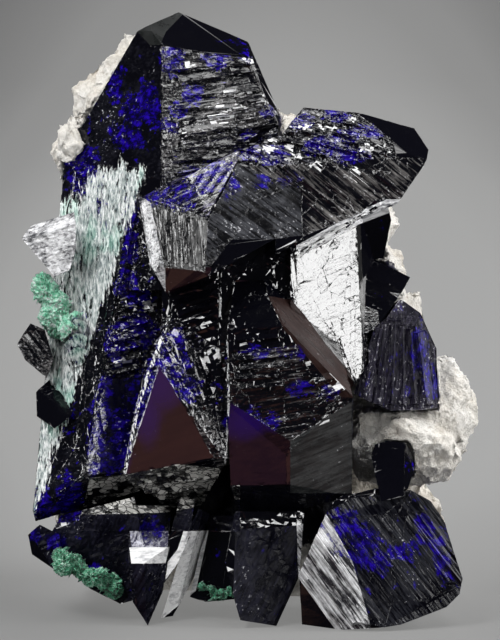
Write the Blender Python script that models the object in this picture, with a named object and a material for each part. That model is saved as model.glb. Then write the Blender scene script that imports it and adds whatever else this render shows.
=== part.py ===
"""A cabinet specimen of azurite: intergrown crystals on pale host rock, with malachite.

The front of the specimen is laid out on a square grid. A place on it is given in grid cells as
(across, up): across runs right from the middle, and up runs up from the foot. Depth is in cells too,
and grows away from the viewer. The crystals are bodies bounded by flat faces, so each is a block
cut by planes, and a face is placed by the edge that it shares with its neighbour and by the
angle that it turns away there. The whole leans back a little, and is cut off flat where it stands.
"""

import math
import random

import bmesh
import bpy
from mathutils import Matrix, Vector, noise

SPECIMEN_HEIGHT = 0.0992
GRID_ROWS = 62
CELL = SPECIMEN_HEIGHT / GRID_ROWS
LEAN_BACK = math.radians(10)
FOOT_HEIGHT = 1.45
GAP = 0.0003
BLOCK = 80

AZURITE = ("azurite", (0.012, 0.008, 0.09), 0.22)
ROCK = ("host_rock", (0.78, 0.73, 0.64), 0.85)
MALACHITE = ("malachite", (0.09, 0.32, 0.18), 0.7)
PALE_AZURITE = ("coated_azurite", (0.42, 0.43, 0.46), 0.4)


def clear_scene():
    for thing in list(bpy.data.objects):
        bpy.data.objects.remove(thing, do_unlink=True)


def new_collection(name):
    made = bpy.data.collections.new(name)
    bpy.context.scene.collection.children.link(made)
    return made


def finish_of(recipe):
    name, colour, roughness = recipe
    made = bpy.data.materials.get(name) or bpy.data.materials.new(name)
    made.use_nodes = True
    shader = made.node_tree.nodes["Principled BSDF"]
    shader.inputs["Base Color"].default_value = (*colour, 1)
    shader.inputs["Roughness"].default_value = roughness
    shader.inputs["Metallic"].default_value = 0
    return made


def at(across, up, depth):
    return Vector((across, depth, up))


def facing(*places):
    """The face through three places, each (across, up, depth), whose outer side is towards the viewer."""
    a, b, c = (at(*place) for place in places)
    normal = (b - a).cross(c - a).normalized()
    return a, normal if normal.y < 0 else -normal


def away(across, up, depth, right=0, rise=0):
    """A hidden back face through a place, turned right and up by those degrees."""
    normal = Vector((math.tan(math.radians(right)), 1, math.tan(math.radians(rise))))
    return at(across, up, depth), normal.normalized()


def side(across, up, x, z, y=0.0):
    """A face through a place of the front view, whose outer side points along (x, z)."""
    return at(across, up, 0), Vector((x, y, z)).normalized()


def on(face, across, up):
    """The point of a face at that place of the front view."""
    point, normal = face
    rise = normal.x * (across - point.x) + normal.z * (up - point.z)
    return at(across, up, point.y - rise / normal.y)


def turned(face, a, b, degrees):
    """The face that shares the edge from a to b with another, and turns away from it on that edge's left."""
    start = on(face, *a)
    end = on(face, *b)
    normal = face[1]
    outward = (end - start).cross(normal).normalized()
    if outward.x * (a[1] - b[1]) + outward.z * (b[0] - a[0]) < 0:
        outward.negate()
    angle = math.radians(degrees)
    return start, normal * math.cos(angle) + outward * math.sin(angle)


def around(face, outline, taper=8):
    """The faces that close a body behind its outline, given clockwise, each leaning in by taper degrees."""
    made = []
    angle = math.radians(taper)
    for a, b in zip(outline, outline[1:]):
        start = on(face, *a)
        edge = (on(face, *b) - start).normalized()
        outward = Vector((a[1] - b[1], 0, b[0] - a[0])).normalized()
        inward_back = edge.cross(outward)
        if inward_back.y < 0:
            inward_back.negate()
        made.append((start, outward * math.cos(angle) + inward_back * math.sin(angle)))
    return made


def ground():
    """The face that the specimen stands on, which is level once the specimen leans back."""
    down = Vector((0, math.sin(LEAN_BACK), -math.cos(LEAN_BACK)))
    return down * -FOOT_HEIGHT, down


def crystal(name, faces, collection, grow=0.0):
    """A body bounded by those faces, each moved out by grow."""
    made = bmesh.new()
    bmesh.ops.create_cube(made, size=BLOCK, matrix=Matrix.Translation(at(0, GRID_ROWS / 2, 0)))
    for point, normal in faces:
        everything = made.verts[:] + made.edges[:] + made.faces[:]
        place = point + normal * (grow / CELL)
        bmesh.ops.bisect_plane(made, geom=everything, plane_co=place, plane_no=normal, clear_outer=True)
        rim = [edge for edge in made.edges if edge.is_boundary]
        if rim:
            bmesh.ops.holes_fill(made, edges=rim)
    bmesh.ops.scale(made, vec=(CELL, CELL, CELL), verts=made.verts)
    bmesh.ops.recalc_face_normals(made, faces=made.faces)
    mesh = bpy.data.meshes.new(name)
    made.to_mesh(mesh)
    made.free()
    body = bpy.data.objects.new(name, mesh)
    collection.objects.link(body)
    return body


def inset(faces):
    """Those faces, each moved in a little."""
    return [(point - normal * 0.06, normal) for point, normal in faces]


def step_on(face, others, a, b, length, lift):
    """A thin step on a face: it starts along the line from a to b, and its lower end stands out by lift."""
    start = on(face, *a)
    end = on(face, *b)
    normal = face[1]
    along = (end - start).normalized()
    down = along.cross(normal).normalized()
    if down.z > 0:
        down.negate()
    tread = (normal * length - down * lift).normalized()
    return [
        (start - normal * 0.02, tread),
        (start + down * length, (down + normal * 0.2).normalized()),
        (start, -along),
        (end, along),
        (start - normal * 0.6, -normal),
        (start, -down),
        *inset(others),
    ]


def ridge_on(face, others, a, b, width, rise):
    """A low ridge, with a roof for its section, that runs from a to b along a face."""
    start = on(face, *a)
    end = on(face, *b)
    normal = face[1]
    along = (end - start).normalized()
    across = along.cross(normal).normalized()
    top = start + normal * rise
    return [
        (top, (normal * (width / 2) + across * rise).normalized()),
        (top, (normal * (width / 2) - across * rise).normalized()),
        (start, (normal * 0.3 - along).normalized()),
        (end, (normal * 0.3 + along).normalized()),
        (start - normal * 0.5, -normal),
        *inset(others),
    ]


def summit_faces():
    """The two large faces of the tall crystal, which meet on its front ridge."""
    right = facing((-8.7, 60, 0.0), (-8.8, 46, -2.5), (2.5, 53, 3.0))
    return right, turned(right, (-8.8, 46), (-8.7, 60), 58)


def summit_crystal():
    """The tall crystal at the top left."""
    right, left = summit_faces()
    top_right = turned(right, (-8.5, 58.5), (1.2, 56.8), 40)
    top_left = turned(left, (-11.3, 60.0), (-8.7, 59.9), 35)
    edge = turned(right, (-0.7, 58.3), (1.8, 52.8), 50)
    limits = [
        left,
        top_right,
        top_left,
        edge,
        *around(left, [(-18.4, 38.0), (-18.8, 47.3), (-11.3, 60.0)], 12),
        *around(top_left, [(-11.3, 60.0), (-7.2, 62.0)], 0),
        *around(top_right, [(-7.2, 62.0), (-0.2, 59.0)], 12),
        *around(edge, [(-0.2, 59.0), (2.7, 52.3), (3.4, 44.0)], 15),
        away(-8, 50, 13, -25, 12),
        away(-3, 50, 13, 25, 12),
        away(-7, 62, 6.5, 0, 40),
        side(0, 34, 0, -1),
    ]
    grown = [[right, *limits]]
    for row in range(9):
        up = 57.0 - 1.3 * row
        slope = 0.1 + 0.07 * math.sin(1.7 * row)
        lift = 0.34 + 0.14 * math.sin(3.1 * row)
        start = -8.0 + 1.2 * math.sin(2.3 * row) ** 2
        end = 2.6 - 2.2 * math.cos(1.3 * row) ** 2
        grown.append(step_on(right, limits, (start, up), (end, up + slope * (end - start)), 1.1, lift))
    for row in range(5):
        up = 53.4 - 0.95 * row
        start = -1.6 - 0.5 * (row % 2)
        grown.append(step_on(right, limits, (start, up), (3.4, up + 0.9), 0.8, 0.75))
    return grown


def cross_crystal():
    """The long crystal that lies across the front at the upper right."""
    front = facing((-4, 40, -9.5), (10, 39.5, -7.0), (5, 48, -6.0))
    upper_left = turned(front, (-4.5, 41.0), (-1.3, 46.8), 25)
    end = turned(front, (-4.4, 36.5), (-4.1, 41.8), 38)
    end_foot = turned(end, (-4, 35.6), (-10, 36.8), 35)
    end_edge = turned(end, (-8.9, 36.2), (-10.4, 42.5), 30)
    broken_top = turned(front, (-1.5, 46.8), (14.5, 47.6), 22)
    dark_top = turned(broken_top, (9.8, 51.4), (17.5, 46.4), 20)
    cap = turned(broken_top, (4.6, 50.5), (9.6, 51.0), 25)
    lower_edge = turned(front, (14.8, 42.8), (5.0, 38.9), 45)
    left_limits = [
        upper_left,
        end,
        end_foot,
        end_edge,
        broken_top,
        lower_edge,
        *around(end_edge, [(-10.0, 36.6), (-10.9, 43.2)], 15),
        *around(upper_left, [(-10.9, 43.3), (-1.0, 48.0), (3.0, 50.0)], 12),
        *around(end_foot, [(5.0, 38.8), (-8.3, 33.8), (-10.0, 36.6)], 10),
        side(9, 45, 1, 0),
        away(0, 42, 3, -15, 12),
        away(0, 42, 3, -5, -25),
    ]
    right_limits = [
        broken_top,
        dark_top,
        cap,
        lower_edge,
        *around(broken_top, [(2.6, 48.5), (5.0, 52.2)], 10),
        *around(cap, [(5.0, 52.2), (7.5, 52.4), (10.0, 51.9)], 10),
        *around(dark_top, [(10.0, 51.9), (16.2, 50.5), (17.8, 48.0), (17.5, 46.6)], 20),
        *around(front, [(17.5, 46.7), (14.8, 42.8)], 20),
        *around(lower_edge, [(14.3, 42.4), (5.3, 38.7)], 25),
        side(2.5, 45, -1, 0),
        away(8, 45, 4, 10, 20),
        away(8, 45, 4, 25, -20),
    ]
    grown = [[front, *left_limits], [front, *right_limits]]
    for line in range(10):
        top = (2.0 + 1.3 * line, 46.4 - 0.1 * line)
        run = 4.6 + 1.4 * math.sin(1.9 * line)
        foot = (top[0] + run, top[1] - 0.78 * run)
        rise = 0.17 + 0.06 * math.sin(2.7 * line)
        grown.append(ridge_on(front, right_limits[1:], top, foot, 0.75, rise))
    for line in range(6):
        top = (-9.6 + 0.95 * line, 42.2 - 0.25 * line)
        foot = (-8.8 + 0.85 * line, 36.9 - 0.1 * line)
        others = [face for face in left_limits if face is not end]
        grown.append(ridge_on(end, others, top, foot, 0.5, 0.11))
    for line in range(4):
        top = (-1.6 - 1.6 * line, 47.2 - 0.8 * line)
        foot = (-4.2 - 1.3 * line, 43.4 - 0.5 * line)
        others = [face for face in left_limits if face is not upper_left]
        grown.append(ridge_on(upper_left, others, top, foot, 0.6, 0.13))
    for row in range(4):
        for column in range(5):
            left = -1.0 + 3.1 * column + 0.9 * (row % 2)
            up = 47.9 + 1.0 * row + 0.25 * math.sin(5 * column + row)
            if left < 10.5:
                others = right_limits[1:] if left > 2.6 else left_limits[:4] + left_limits[6:]
                grown.append(step_on(broken_top, others, (left, up + 0.5), (left + 2.4, up), 0.8, 0.36))
    return grown


def left_crystal():
    """The tall prism down the left side, whose left face carries the pale green coating."""
    above = summit_faces()[1]
    coated = facing(
        (-9.4, 46.0, on(above, -9.4, 46.0).y),
        (-18.7, 47.0, on(above, -18.7, 47.0).y),
        (-16.5, 15.8, -4.8),
    )
    front = turned(coated, (-11.0, 44.0), (-16.5, 15.8), 60)
    under = turned(front, (-12.5, 15.8), (-16.8, 15.6), 55)
    limits = [
        coated,
        front,
        under,
        turned(coated, (-16.5, 15.6), (-19.0, 11.0), 60),
        *around(coated, [(-19.0, 11.0), (-21.8, 10.5), (-21.0, 20.0), (-18.7, 47.3)], 10),
        side(-9.4, 46.2, 0.1, 1),
        side(-7, 30, 1, 0),
        away(-14, 30, 11, -20, 0),
        away(-14, 20, 11, 0, -25),
    ]
    grown = [limits]
    for line in range(9):
        top = (-17.4 + 0.8 * line, 46.0 - 1.6 * (line % 3))
        foot = (top[0] - 2.8 - 0.08 * line, 19.5 + 3.5 * (line % 2) - 0.35 * line)
        grown.append(ridge_on(coated, limits[1:], top, foot, 0.65, 0.18))
    for row in range(7):
        up = 33.0 - 1.15 * row
        left = -13.2 - 0.22 * row
        others = [coated, *limits[2:]]
        grown.append(step_on(front, others, (left, up), (left + 3.2, up + 0.8), 0.8, 0.4))
    for line in range(3):
        up = 30.0 - 1.4 * line
        plate = facing((-18.4, up, -1.6), (-16.3, up + 0.9, -2.6), (-17.2, up - 1.2, -1.4))
        outline = [
            (-18.6, up),
            (-17.4, up + 1.2),
            (-16.2, up + 0.8),
            (-16.6, up - 0.7),
            (-18.0, up - 1.0),
            (-18.6, up),
        ]
        grown.append([plate, *around(plate, outline, 5), away(-17, up, 1.5)])
    return grown


def central_crystals():
    """The large dark crystals in the middle, and the bright one at their right."""
    brown = facing((-9, 26.3, -9.6), (-12.5, 15.8, -8.0), (-3.8, 17.5, -7.6))
    bevel = turned(brown, (-12.4, 15.8), (-9.0, 26.3), 35)
    shoulder = turned(brown, (-9.0, 26.3), (-3.9, 19.0), 30)
    under = turned(brown, (-2.2, 17.4), (-12.5, 15.7), 55)
    wedge = [
        brown,
        bevel,
        shoulder,
        under,
        *around(bevel, [(-12.6, 15.8), (-10.4, 27.0), (-8.2, 31.2)], 30),
        *around(shoulder, [(-8.2, 31.2), (-4.6, 27.0), (-2.2, 22.5), (-2.2, 18.0)], 15),
        away(-8, 20, 5, 0, -20),
    ]
    block_front = facing((-8, 33, -5.5), (-2.9, 28, -6.5), (-2.9, 38, -5.5))
    block = [
        block_front,
        turned(block_front, (-2.9, 38), (-2.9, 28), 14),
        side(4.3, 30, 1, 0),
        side(-8.8, 30, -1, 0),
        side(0, 40, 0, 1),
        side(0, 22, 0, -1),
        away(-2, 30, 8),
    ]
    front = facing((-2.2, 29, -8.2), (9, 25, -8.6), (0, 16, -8.0))
    foot = turned(front, (9.5, 14.8), (-2.2, 15.5), 50)
    centre_limits = [
        foot,
        turned(front, (10.3, 24.0), (3.8, 18.0), 12),
        turned(front, (5.0, 16.5), (-2.2, 22.5), 12),
        turned(front, (-2.2, 30.0), (4.6, 30.5), 30),
        turned(front, (3.6, 30.2), (10.2, 23.4), 60),
        *around(front, [(10.2, 23.4), (10.5, 14.5)], 15),
        *around(foot, [(8.8, 13.2), (-1.0, 10.4)], 10),
        *around(front, [(-2.3, 14.0), (-2.3, 31.0)], 15),
        side(0, 35, 0, 1),
        away(4, 22, 7, 10, -20),
    ]
    bright = facing((5, 30, -5.6), (11, 28, -3.8), (9, 38, -3.8))
    bright_side = turned(bright, (10.6, 40.0), (11.2, 28.0), 45)
    window_limits = [
        bright_side,
        turned(bright, (10.3, 24.8), (4.6, 31.6), 30),
        side(4.0, 30, -1, 0),
        side(0, 42, 0, 1),
        *around(bright_side, [(12.2, 40.0), (12.8, 30.0), (10.6, 24.0)], 30),
        side(0, 20, 0, -1),
        away(8, 30, 7, 15, 0),
    ]
    grown = [wedge, block, [front, *centre_limits], [bright, *window_limits]]
    for row in range(3):
        for column in range(5):
            left = -16.2 + 2.9 * column + 1.2 * row
            up = 15.2 - 1.1 * row + 0.12 * column
            if left < -3.5:
                others = wedge[:3] + wedge[4:]
                grown.append(step_on(under, others, (left, up), (left + 2.4, up + 0.2), 0.9, 0.4))
    for row in range(5):
        up = 34.4 - 1.0 * row
        grown.append(step_on(block_front, block[1:], (-8.2 + 0.4 * row, up - 0.4), (-3.2, up + 0.9), 0.7, 0.34))
    for row in range(6):
        up = 29.6 - 0.95 * row
        start = -1.6 + 0.5 * (row % 2)
        grown.append(step_on(front, centre_limits, (start, up), (start + 4.4, up + 0.3), 0.7, 0.3))
    for row in range(4):
        for column in range(2):
            left = 4.6 + 2.4 * column + 0.5 * (row % 2)
            up = 37.0 - 1.2 * row - 0.3 * column
            grown.append(step_on(bright, window_limits, (left, up), (left + 2.0, up + 0.5), 0.9, 0.16))
    for row in range(4):
        left = 6.2 + 0.7 * row
        up = 25.4 - 1.3 * row
        grown.append(step_on(front, centre_limits, (left, up), (left + 2.8, up + 0.9), 0.8, 0.3))
    return grown


def right_crystals():
    """The dark blocks at the right, above the rounded crystal."""
    upper_front = facing((10, 37, -0.6), (14, 42, -1.6), (14.5, 37.5, 0.2))
    upper_outline = [(9.0, 41.5), (14.4, 42.5), (14.1, 41.0), (14.8, 38.0), (13.3, 37.2), (9.5, 36.5)]
    upper = [upper_front, *around(upper_front, upper_outline), side(8, 40, -1, 0), away(12, 40, 7)]
    lower_front = facing((11, 35, -2.2), (16, 33, -1.0), (13, 30, -2.6))
    lower_outline = [
        (11.0, 38.0),
        (13.5, 36.8),
        (16.5, 35.2),
        (16.6, 32.0),
        (15.5, 31.5),
        (12.5, 30.0),
        (10.4, 27.0),
    ]
    lower = [
        lower_front,
        turned(lower_front, (11.5, 35.6), (16.2, 33.6), 30),
        *around(lower_front, lower_outline),
        side(10, 33, -1, 0),
        away(13, 33, 7),
    ]
    return [upper, lower]


def lower_crystals():
    """The tabular crystal at the lower right and its dark neighbour."""
    front = facing((6, 10, -7.9), (20, 6, -6.0), (13, 1, -7.8))
    striped = turned(front, (13.5, 0.3), (5.3, 11.2), 25)
    foot = turned(striped, (9.5, 0.0), (4.8, 5.7), 30)
    outline = [
        (5.3, 11.2),
        (9.0, 13.5),
        (12.5, 14.3),
        (16.0, 14.1),
        (18.0, 13.0),
        (19.3, 11.0),
        (21.1, 5.3),
        (20.8, 3.8),
        (19.5, 2.5),
        (15.0, 0.8),
        (9.5, -0.1),
    ]
    limits = [
        striped,
        foot,
        *around(front, outline, 15),
        *around(foot, [(9.5, 0.0), (3.0, 0.4), (4.8, 5.7)], 10),
        *around(striped, [(4.8, 5.7), (4.8, 8.5), (5.3, 11.2)], 10),
        away(12, 8, 4, 10, -10),
    ]
    grown = [[front, *limits]]
    for line in range(9):
        top = (6.6 + 1.3 * line, 11.0 + 0.1 * line)
        run = 5.2 + 1.3 * math.sin(2.1 * line)
        grown.append(ridge_on(front, limits[1:], top, (top[0] + run, top[1] - 1.28 * run), 0.6, 0.15))
    for line in range(4):
        top = (5.4 + 0.1 * line, 9.8 - 1.5 * line)
        run = 6.6 - 1.0 * line
        grown.append(ridge_on(striped, limits[1:], top, (top[0] + run, top[1] - 1.28 * run), 0.5, 0.12))
    dark_front = facing((-1, 8, -6.5), (4.5, 8, -5.0), (1, 2, -6.0))
    dark_outline = [
        (-2.5, 7.0),
        (-1.5, 12.0),
        (5.4, 12.0),
        (4.9, 5.5),
        (2.6, 0.6),
        (-1.0, 1.2),
        (-1.6, 3.3),
        (-2.5, 7.0),
    ]
    grown.append([dark_front, *around(dark_front, dark_outline), away(2, 6, 5)])
    return grown


def foot_crystals():
    """The small prisms and blades under the left side."""
    top = facing((-12, 8.5, -5.0), (-8.5, 7.5, -5.4), (-9, 11.5, -2.5))
    below = turned(top, (-8.5, 6.8), (-11.7, 6.9), 45)
    below_right = turned(below, (-10.5, 6.8), (-10.3, 0.8), 30)
    prism = [
        top,
        below,
        below_right,
        *around(below, [(-10.3, 0.8), (-11.7, 3.0), (-12.2, 8.0)], 5),
        *around(below_right, [(-8.0, 9.5), (-8.7, 4.0), (-10.1, 0.8)], 5),
        side(0, 12.5, 0, 1),
        away(-10, 8, 3),
    ]
    black_front = facing((-7, 12.5, -4.0), (-6, 9, -4.6), (-8.5, 6, -4.4))
    black_outline = [
        (-9.2, 4.0),
        (-8.2, 9.0),
        (-7.0, 13.2),
        (-5.5, 13.2),
        (-6.0, 9.5),
        (-7.4, 6.5),
        (-9.2, 4.0),
    ]
    blade_front = facing((-6, 10, -4.6), (-8.5, 3, -4.0), (-5, 6, -2.8))
    blade_edge = turned(blade_front, (-5.1, 10.5), (-7.2, 2.6), 40)
    blade_outline = [(-7.6, 1.5), (-9.3, 1.3), (-8.8, 4.8), (-6.2, 10.0), (-5.5, 12.3), (-4.0, 11.8)]
    blade = [
        blade_front,
        blade_edge,
        *around(blade_front, blade_outline, 5),
        *around(blade_edge, [(-4.0, 11.8), (-5.0, 6.5), (-7.6, 1.6)], 5),
        away(-7, 6, 3),
    ]
    navy_front = facing((-5, 6, -2.0), (-1.5, 10, -2.6), (-1.5, 4, -3.0))
    navy_outline = [
        (-6.5, 3.5),
        (-5.0, 8.0),
        (-4.2, 11.5),
        (-0.5, 11.5),
        (-1.2, 3.2),
        (-4.5, 2.9),
        (-6.5, 3.5),
    ]
    root_front = facing((-17, 10, -2.6), (-12, 9, -4.2), (-13, 4, -3.0))
    root_outline = [
        (-20.6, 8.2),
        (-19.0, 11.6),
        (-11.5, 13.5),
        (-10.5, 8.0),
        (-11.8, 3.0),
        (-13.0, 2.7),
        (-16.0, 4.2),
        (-20.6, 8.2),
    ]
    corner_front = facing((-22, 8.5, -1.6), (-19.5, 9.5, -2.6), (-20.5, 6.8, -1.8))
    corner_outline = [
        (-22.2, 9.6),
        (-21.0, 10.6),
        (-19.0, 9.6),
        (-18.8, 6.4),
        (-19.4, 6.0),
        (-21.8, 7.6),
        (-22.2, 9.6),
    ]
    return [
        prism,
        [black_front, *around(black_front, black_outline, 5), away(-7, 9, 3)],
        blade,
        [navy_front, *around(navy_front, navy_outline, 5), away(-3, 7, 7)],
        [
            root_front,
            turned(root_front, (-18.5, 10.5), (-11.5, 13.0), 35),
            *around(root_front, root_outline, 10),
            away(-14, 8, 8, -10, -10),
        ],
        [corner_front, *around(corner_front, corner_outline, 8), away(-20, 8, 3)],
    ]


def lone_crystals():
    """The crystals that stand apart from the cluster."""
    fan_front = facing((13, 28, -3.0), (17, 26, -2.4), (14.5, 22.5, -3.0))
    fan_outline = [
        (10.2, 23.6),
        (12.2, 30.0),
        (13.5, 33.0),
        (15.2, 33.2),
        (17.0, 31.8),
        (18.0, 29.8),
        (18.8, 28.2),
        (18.9, 22.1),
        (14.0, 22.0),
        (10.2, 23.6),
    ]
    fan_limits = [
        turned(fan_front, (11.6, 30.0), (17.5, 30.5), 20),
        turned(fan_front, (16.4, 31.5), (17.2, 22.3), 28),
        turned(fan_front, (11.4, 22.5), (13.2, 32.0), 28),
        *around(fan_front, fan_outline, 10),
        away(14, 27, 4),
    ]
    knob_front = facing((12.5, 18.5, -5.0), (16, 18, -4.4), (14, 14, -6.5))
    knob_outline = [
        (12.0, 17.5),
        (12.4, 18.6),
        (13.5, 19.0),
        (15.5, 18.8),
        (16.3, 17.5),
        (16.5, 16.0),
        (15.5, 13.6),
        (13.0, 13.0),
        (12.0, 17.5),
    ]
    knob = [
        knob_front,
        turned(knob_front, (15.4, 18.6), (15.2, 13.6), 45),
        *around(knob_front, knob_outline, 8),
        away(14, 16, 2),
    ]
    tip_front = facing((-21, 40, -0.8), (-18, 40, -2.2), (-19, 36.5, -1.8))
    tip_outline = [
        (-22.9, 39.2),
        (-22.0, 40.6),
        (-18.8, 41.6),
        (-17.4, 42.0),
        (-17.4, 38.0),
        (-18.0, 36.0),
        (-19.5, 35.3),
        (-21.5, 37.6),
        (-22.9, 39.2),
    ]
    tip = [
        tip_front,
        turned(tip_front, (-22.5, 39.0), (-17.5, 40.6), 35),
        *around(tip_front, tip_outline, 10),
        away(-19, 39, 3),
    ]
    upper_front = facing((-22, 29, -0.6), (-20, 30, -2.0), (-20.5, 26, -1.2))
    upper_outline = [
        (-23.3, 28.6),
        (-22.0, 30.8),
        (-20.5, 30.0),
        (-19.6, 27.0),
        (-20.3, 25.2),
        (-22.5, 27.0),
        (-23.3, 28.6),
    ]
    upper = [
        upper_front,
        turned(upper_front, (-23.0, 29.5), (-19.5, 31.0), 35),
        *around(upper_front, upper_outline, 10),
        away(-21, 28, 3),
    ]
    lower_front = facing((-21.5, 22, -1.2), (-18.5, 22, -3.0), (-19.5, 25, -1.4))
    lower_outline = [
        (-21.4, 23.8),
        (-20.0, 25.4),
        (-18.9, 24.8),
        (-17.6, 21.6),
        (-19.5, 20.2),
        (-21.3, 21.4),
        (-21.4, 23.8),
    ]
    lower = [
        lower_front,
        turned(lower_front, (-21.2, 24.2), (-18.2, 21.2), 40),
        *around(lower_front, lower_outline, 10),
        away(-20, 23, 3),
    ]
    fan = [[fan_front, *fan_limits]]
    for line in range(6):
        low = (11.6 + 1.2 * line, 22.6)
        high = (12.9 + 0.75 * line, 31.0 - 0.4 * abs(line - 2))
        fan.append(ridge_on(fan_front, fan_limits[3:], low, high, 0.8, 0.3))
    return {
        "azurite_rounded_crystal": (fan, AZURITE),
        "azurite_ledge_crystal": ([knob], AZURITE),
        "azurite_left_tip": ([tip], PALE_AZURITE),
        "azurite_left_upper": ([upper], AZURITE),
        "azurite_left_lower": ([lower], AZURITE),
    }


def lump(name, collection, place, radii, seed, rough, subdivisions=3, chips=0):
    """A lump with radii across, up and in depth: noise makes it uneven, and flat chips are broken off it."""
    made = bmesh.new()
    bmesh.ops.create_icosphere(made, subdivisions=subdivisions, radius=1)
    chance = random.Random(seed)
    across, up, deep = radii
    breaks = []
    for _ in range(chips):
        direction = Vector(chance.gauss(0, 1) for _ in range(3)).normalized()
        breaks.append((direction, chance.uniform(0.68, 0.88)))
    for vert in made.verts:
        ball = vert.co.copy()
        for direction, depth in breaks:
            ball -= direction * max(0, ball.dot(direction) - depth)
        spot = Vector((ball.x * across, ball.y * deep, ball.z * up))
        sample = (spot + at(*place)) * 0.33 + Vector((seed, 0, 0))
        swell = noise.fractal(sample, 0.9, 2.1, 3)
        vert.co = at(*place) + spot * (1 + rough * swell)
    bmesh.ops.scale(made, vec=(CELL, CELL, CELL), verts=made.verts)
    mesh = bpy.data.meshes.new(name)
    made.to_mesh(mesh)
    made.free()
    body = bpy.data.objects.new(name, mesh)
    collection.objects.link(body)
    return body


def crust(name, collection, path, radius, count, seed):
    """Many small round lumps grown over each other along a path of places."""
    chance = random.Random(seed)
    bodies = []
    for index in range(count):
        where = index / (count - 1) * (len(path) - 1)
        first = min(int(where), len(path) - 2)
        share = where - first
        middle = [a + (b - a) * share for a, b in zip(path[first], path[first + 1])]
        place = [value + chance.uniform(-0.45, 0.45) * radius for value in middle]
        size = radius * chance.uniform(0.6, 1.0)
        bodies.append(lump(f"{name}_{index}", collection, place, (size, size, size), seed + index, 0.25, 2))
    return bodies


def host_rock(collection):
    """The pale rock behind and below the crystals."""
    shapes = (
        ((-17.0, 48.7, 7.5), (3.4, 3.6, 4.5), 0.3, 3),
        ((-14.6, 52.2, 8.0), (2.6, 2.8, 4.5), 0.3, 3),
        ((-13.4, 55.0, 8.5), (2.5, 3.0, 4.5), 0.3, 3),
        ((-11.6, 57.0, 8.5), (2.5, 3.0, 3.5), 0.3, 2),
        ((-10.5, 49.0, 12.0), (8.0, 9.0, 7.0), 0.3, 8),
        ((-6.0, 36.0, 12.0), (13.5, 14.5, 8.3), 0.34, 14),
        ((3.2, 47.2, 7.5), (4.4, 5.2, 4.8), 0.2, 3),
        ((7.0, 38.0, 9.5), (8.0, 9.5, 6.5), 0.34, 8),
        ((12.4, 25.0, 7.0), (7.4, 11.0, 7.6), 0.3, 8),
        ((13.2, 33.2, 5.0), (2.9, 6.2, 4.2), 0.25, 3),
        ((18.9, 22.0, 4.0), (4.2, 5.7, 5.2), 0.2, 4),
        ((15.2, 18.6, 2.0), (6.4, 4.8, 5.2), 0.2, 4),
        ((3.0, 12.0, 13.2), (16.0, 15.5, 8.4), 0.3, 10),
        ((-13.0, 10.0, 8.5), (6.8, 6.8, 6.4), 0.3, 8),
        ((-19.0, 31.0, 4.0), (2.8, 6.8, 4.7), 0.25, 4),
        ((-15.0, 22.0, 9.0), (5.8, 9.4, 6.0), 0.3, 8),
    )
    bodies = []
    for index, (place, radii, rough, chips) in enumerate(shapes):
        subdivisions = 3 if max(radii) > 5 else 2
        bodies.append(lump(f"rock_{index}", collection, place, radii, 11.7 * index, rough, subdivisions, chips))
    return bodies


def baked(body):
    """The mesh that a body has with its modifiers."""
    bpy.context.view_layer.update()
    graph = bpy.context.evaluated_depsgraph_get()
    return bpy.data.meshes.new_from_object(body.evaluated_get(graph))


def fused(name, bodies, collection, recipe):
    """One body from several that overlap."""
    first, rest = bodies[0], bodies[1:]
    operands = bpy.data.collections.new(f"{name}_operands")
    for body in rest:
        operands.objects.link(body)
    if rest:
        union = first.modifiers.new("union", "BOOLEAN")
        union.operation = "UNION"
        union.solver = "EXACT"
        union.operand_type = "COLLECTION"
        union.collection = operands
    made = bpy.data.objects.new(name, baked(first))
    for body in bodies:
        bpy.data.objects.remove(body, do_unlink=True)
    bpy.data.collections.remove(operands)
    collection.objects.link(made)
    made.data.materials.clear()
    made.data.materials.append(finish_of(recipe))
    return made


def cut_from(body, cutters):
    """Takes the cutters away from a body, and removes them."""
    operands = bpy.data.collections.new("operands")
    for cutter in cutters:
        operands.objects.link(cutter)
    difference = body.modifiers.new("difference", "BOOLEAN")
    difference.operation = "DIFFERENCE"
    difference.solver = "EXACT"
    difference.operand_type = "COLLECTION"
    difference.collection = operands
    body.data = baked(body)
    body.modifiers.clear()
    for cutter in cutters:
        bpy.data.objects.remove(cutter, do_unlink=True)
    bpy.data.collections.remove(operands)


def keep_largest(body):
    """Leaves out the loose chips that a cut made."""
    made = bmesh.new()
    made.from_mesh(body.data)
    unseen = set(made.verts)
    groups = []
    while unseen:
        start = unseen.pop()
        front = [start]
        group = [start]
        while front:
            vert = front.pop()
            for edge in vert.link_edges:
                other = edge.other_vert(vert)
                if other in unseen:
                    unseen.discard(other)
                    group.append(other)
                    front.append(other)
        groups.append(group)
    groups.sort(key=len)
    chips = [vert for group in groups[:-1] for vert in group]
    bmesh.ops.delete(made, geom=chips, context="VERTS")
    made.to_mesh(body.data)
    made.free()


def stand(bodies):
    """Leans the bodies back, and sets the middle of the foot at the origin."""
    lean = Matrix.Rotation(-LEAN_BACK, 4, "X")
    for body in bodies:
        body.data.transform(lean)
    spots = [vert.co for body in bodies for vert in body.data.vertices]
    low = Vector(min(spot[axis] for spot in spots) for axis in range(3))
    high = Vector(max(spot[axis] for spot in spots) for axis in range(3))
    centre = Vector(((low.x + high.x) / 2, (low.y + high.y) / 2, low.z))
    for body in bodies:
        body.data.transform(Matrix.Translation(-centre))


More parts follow.
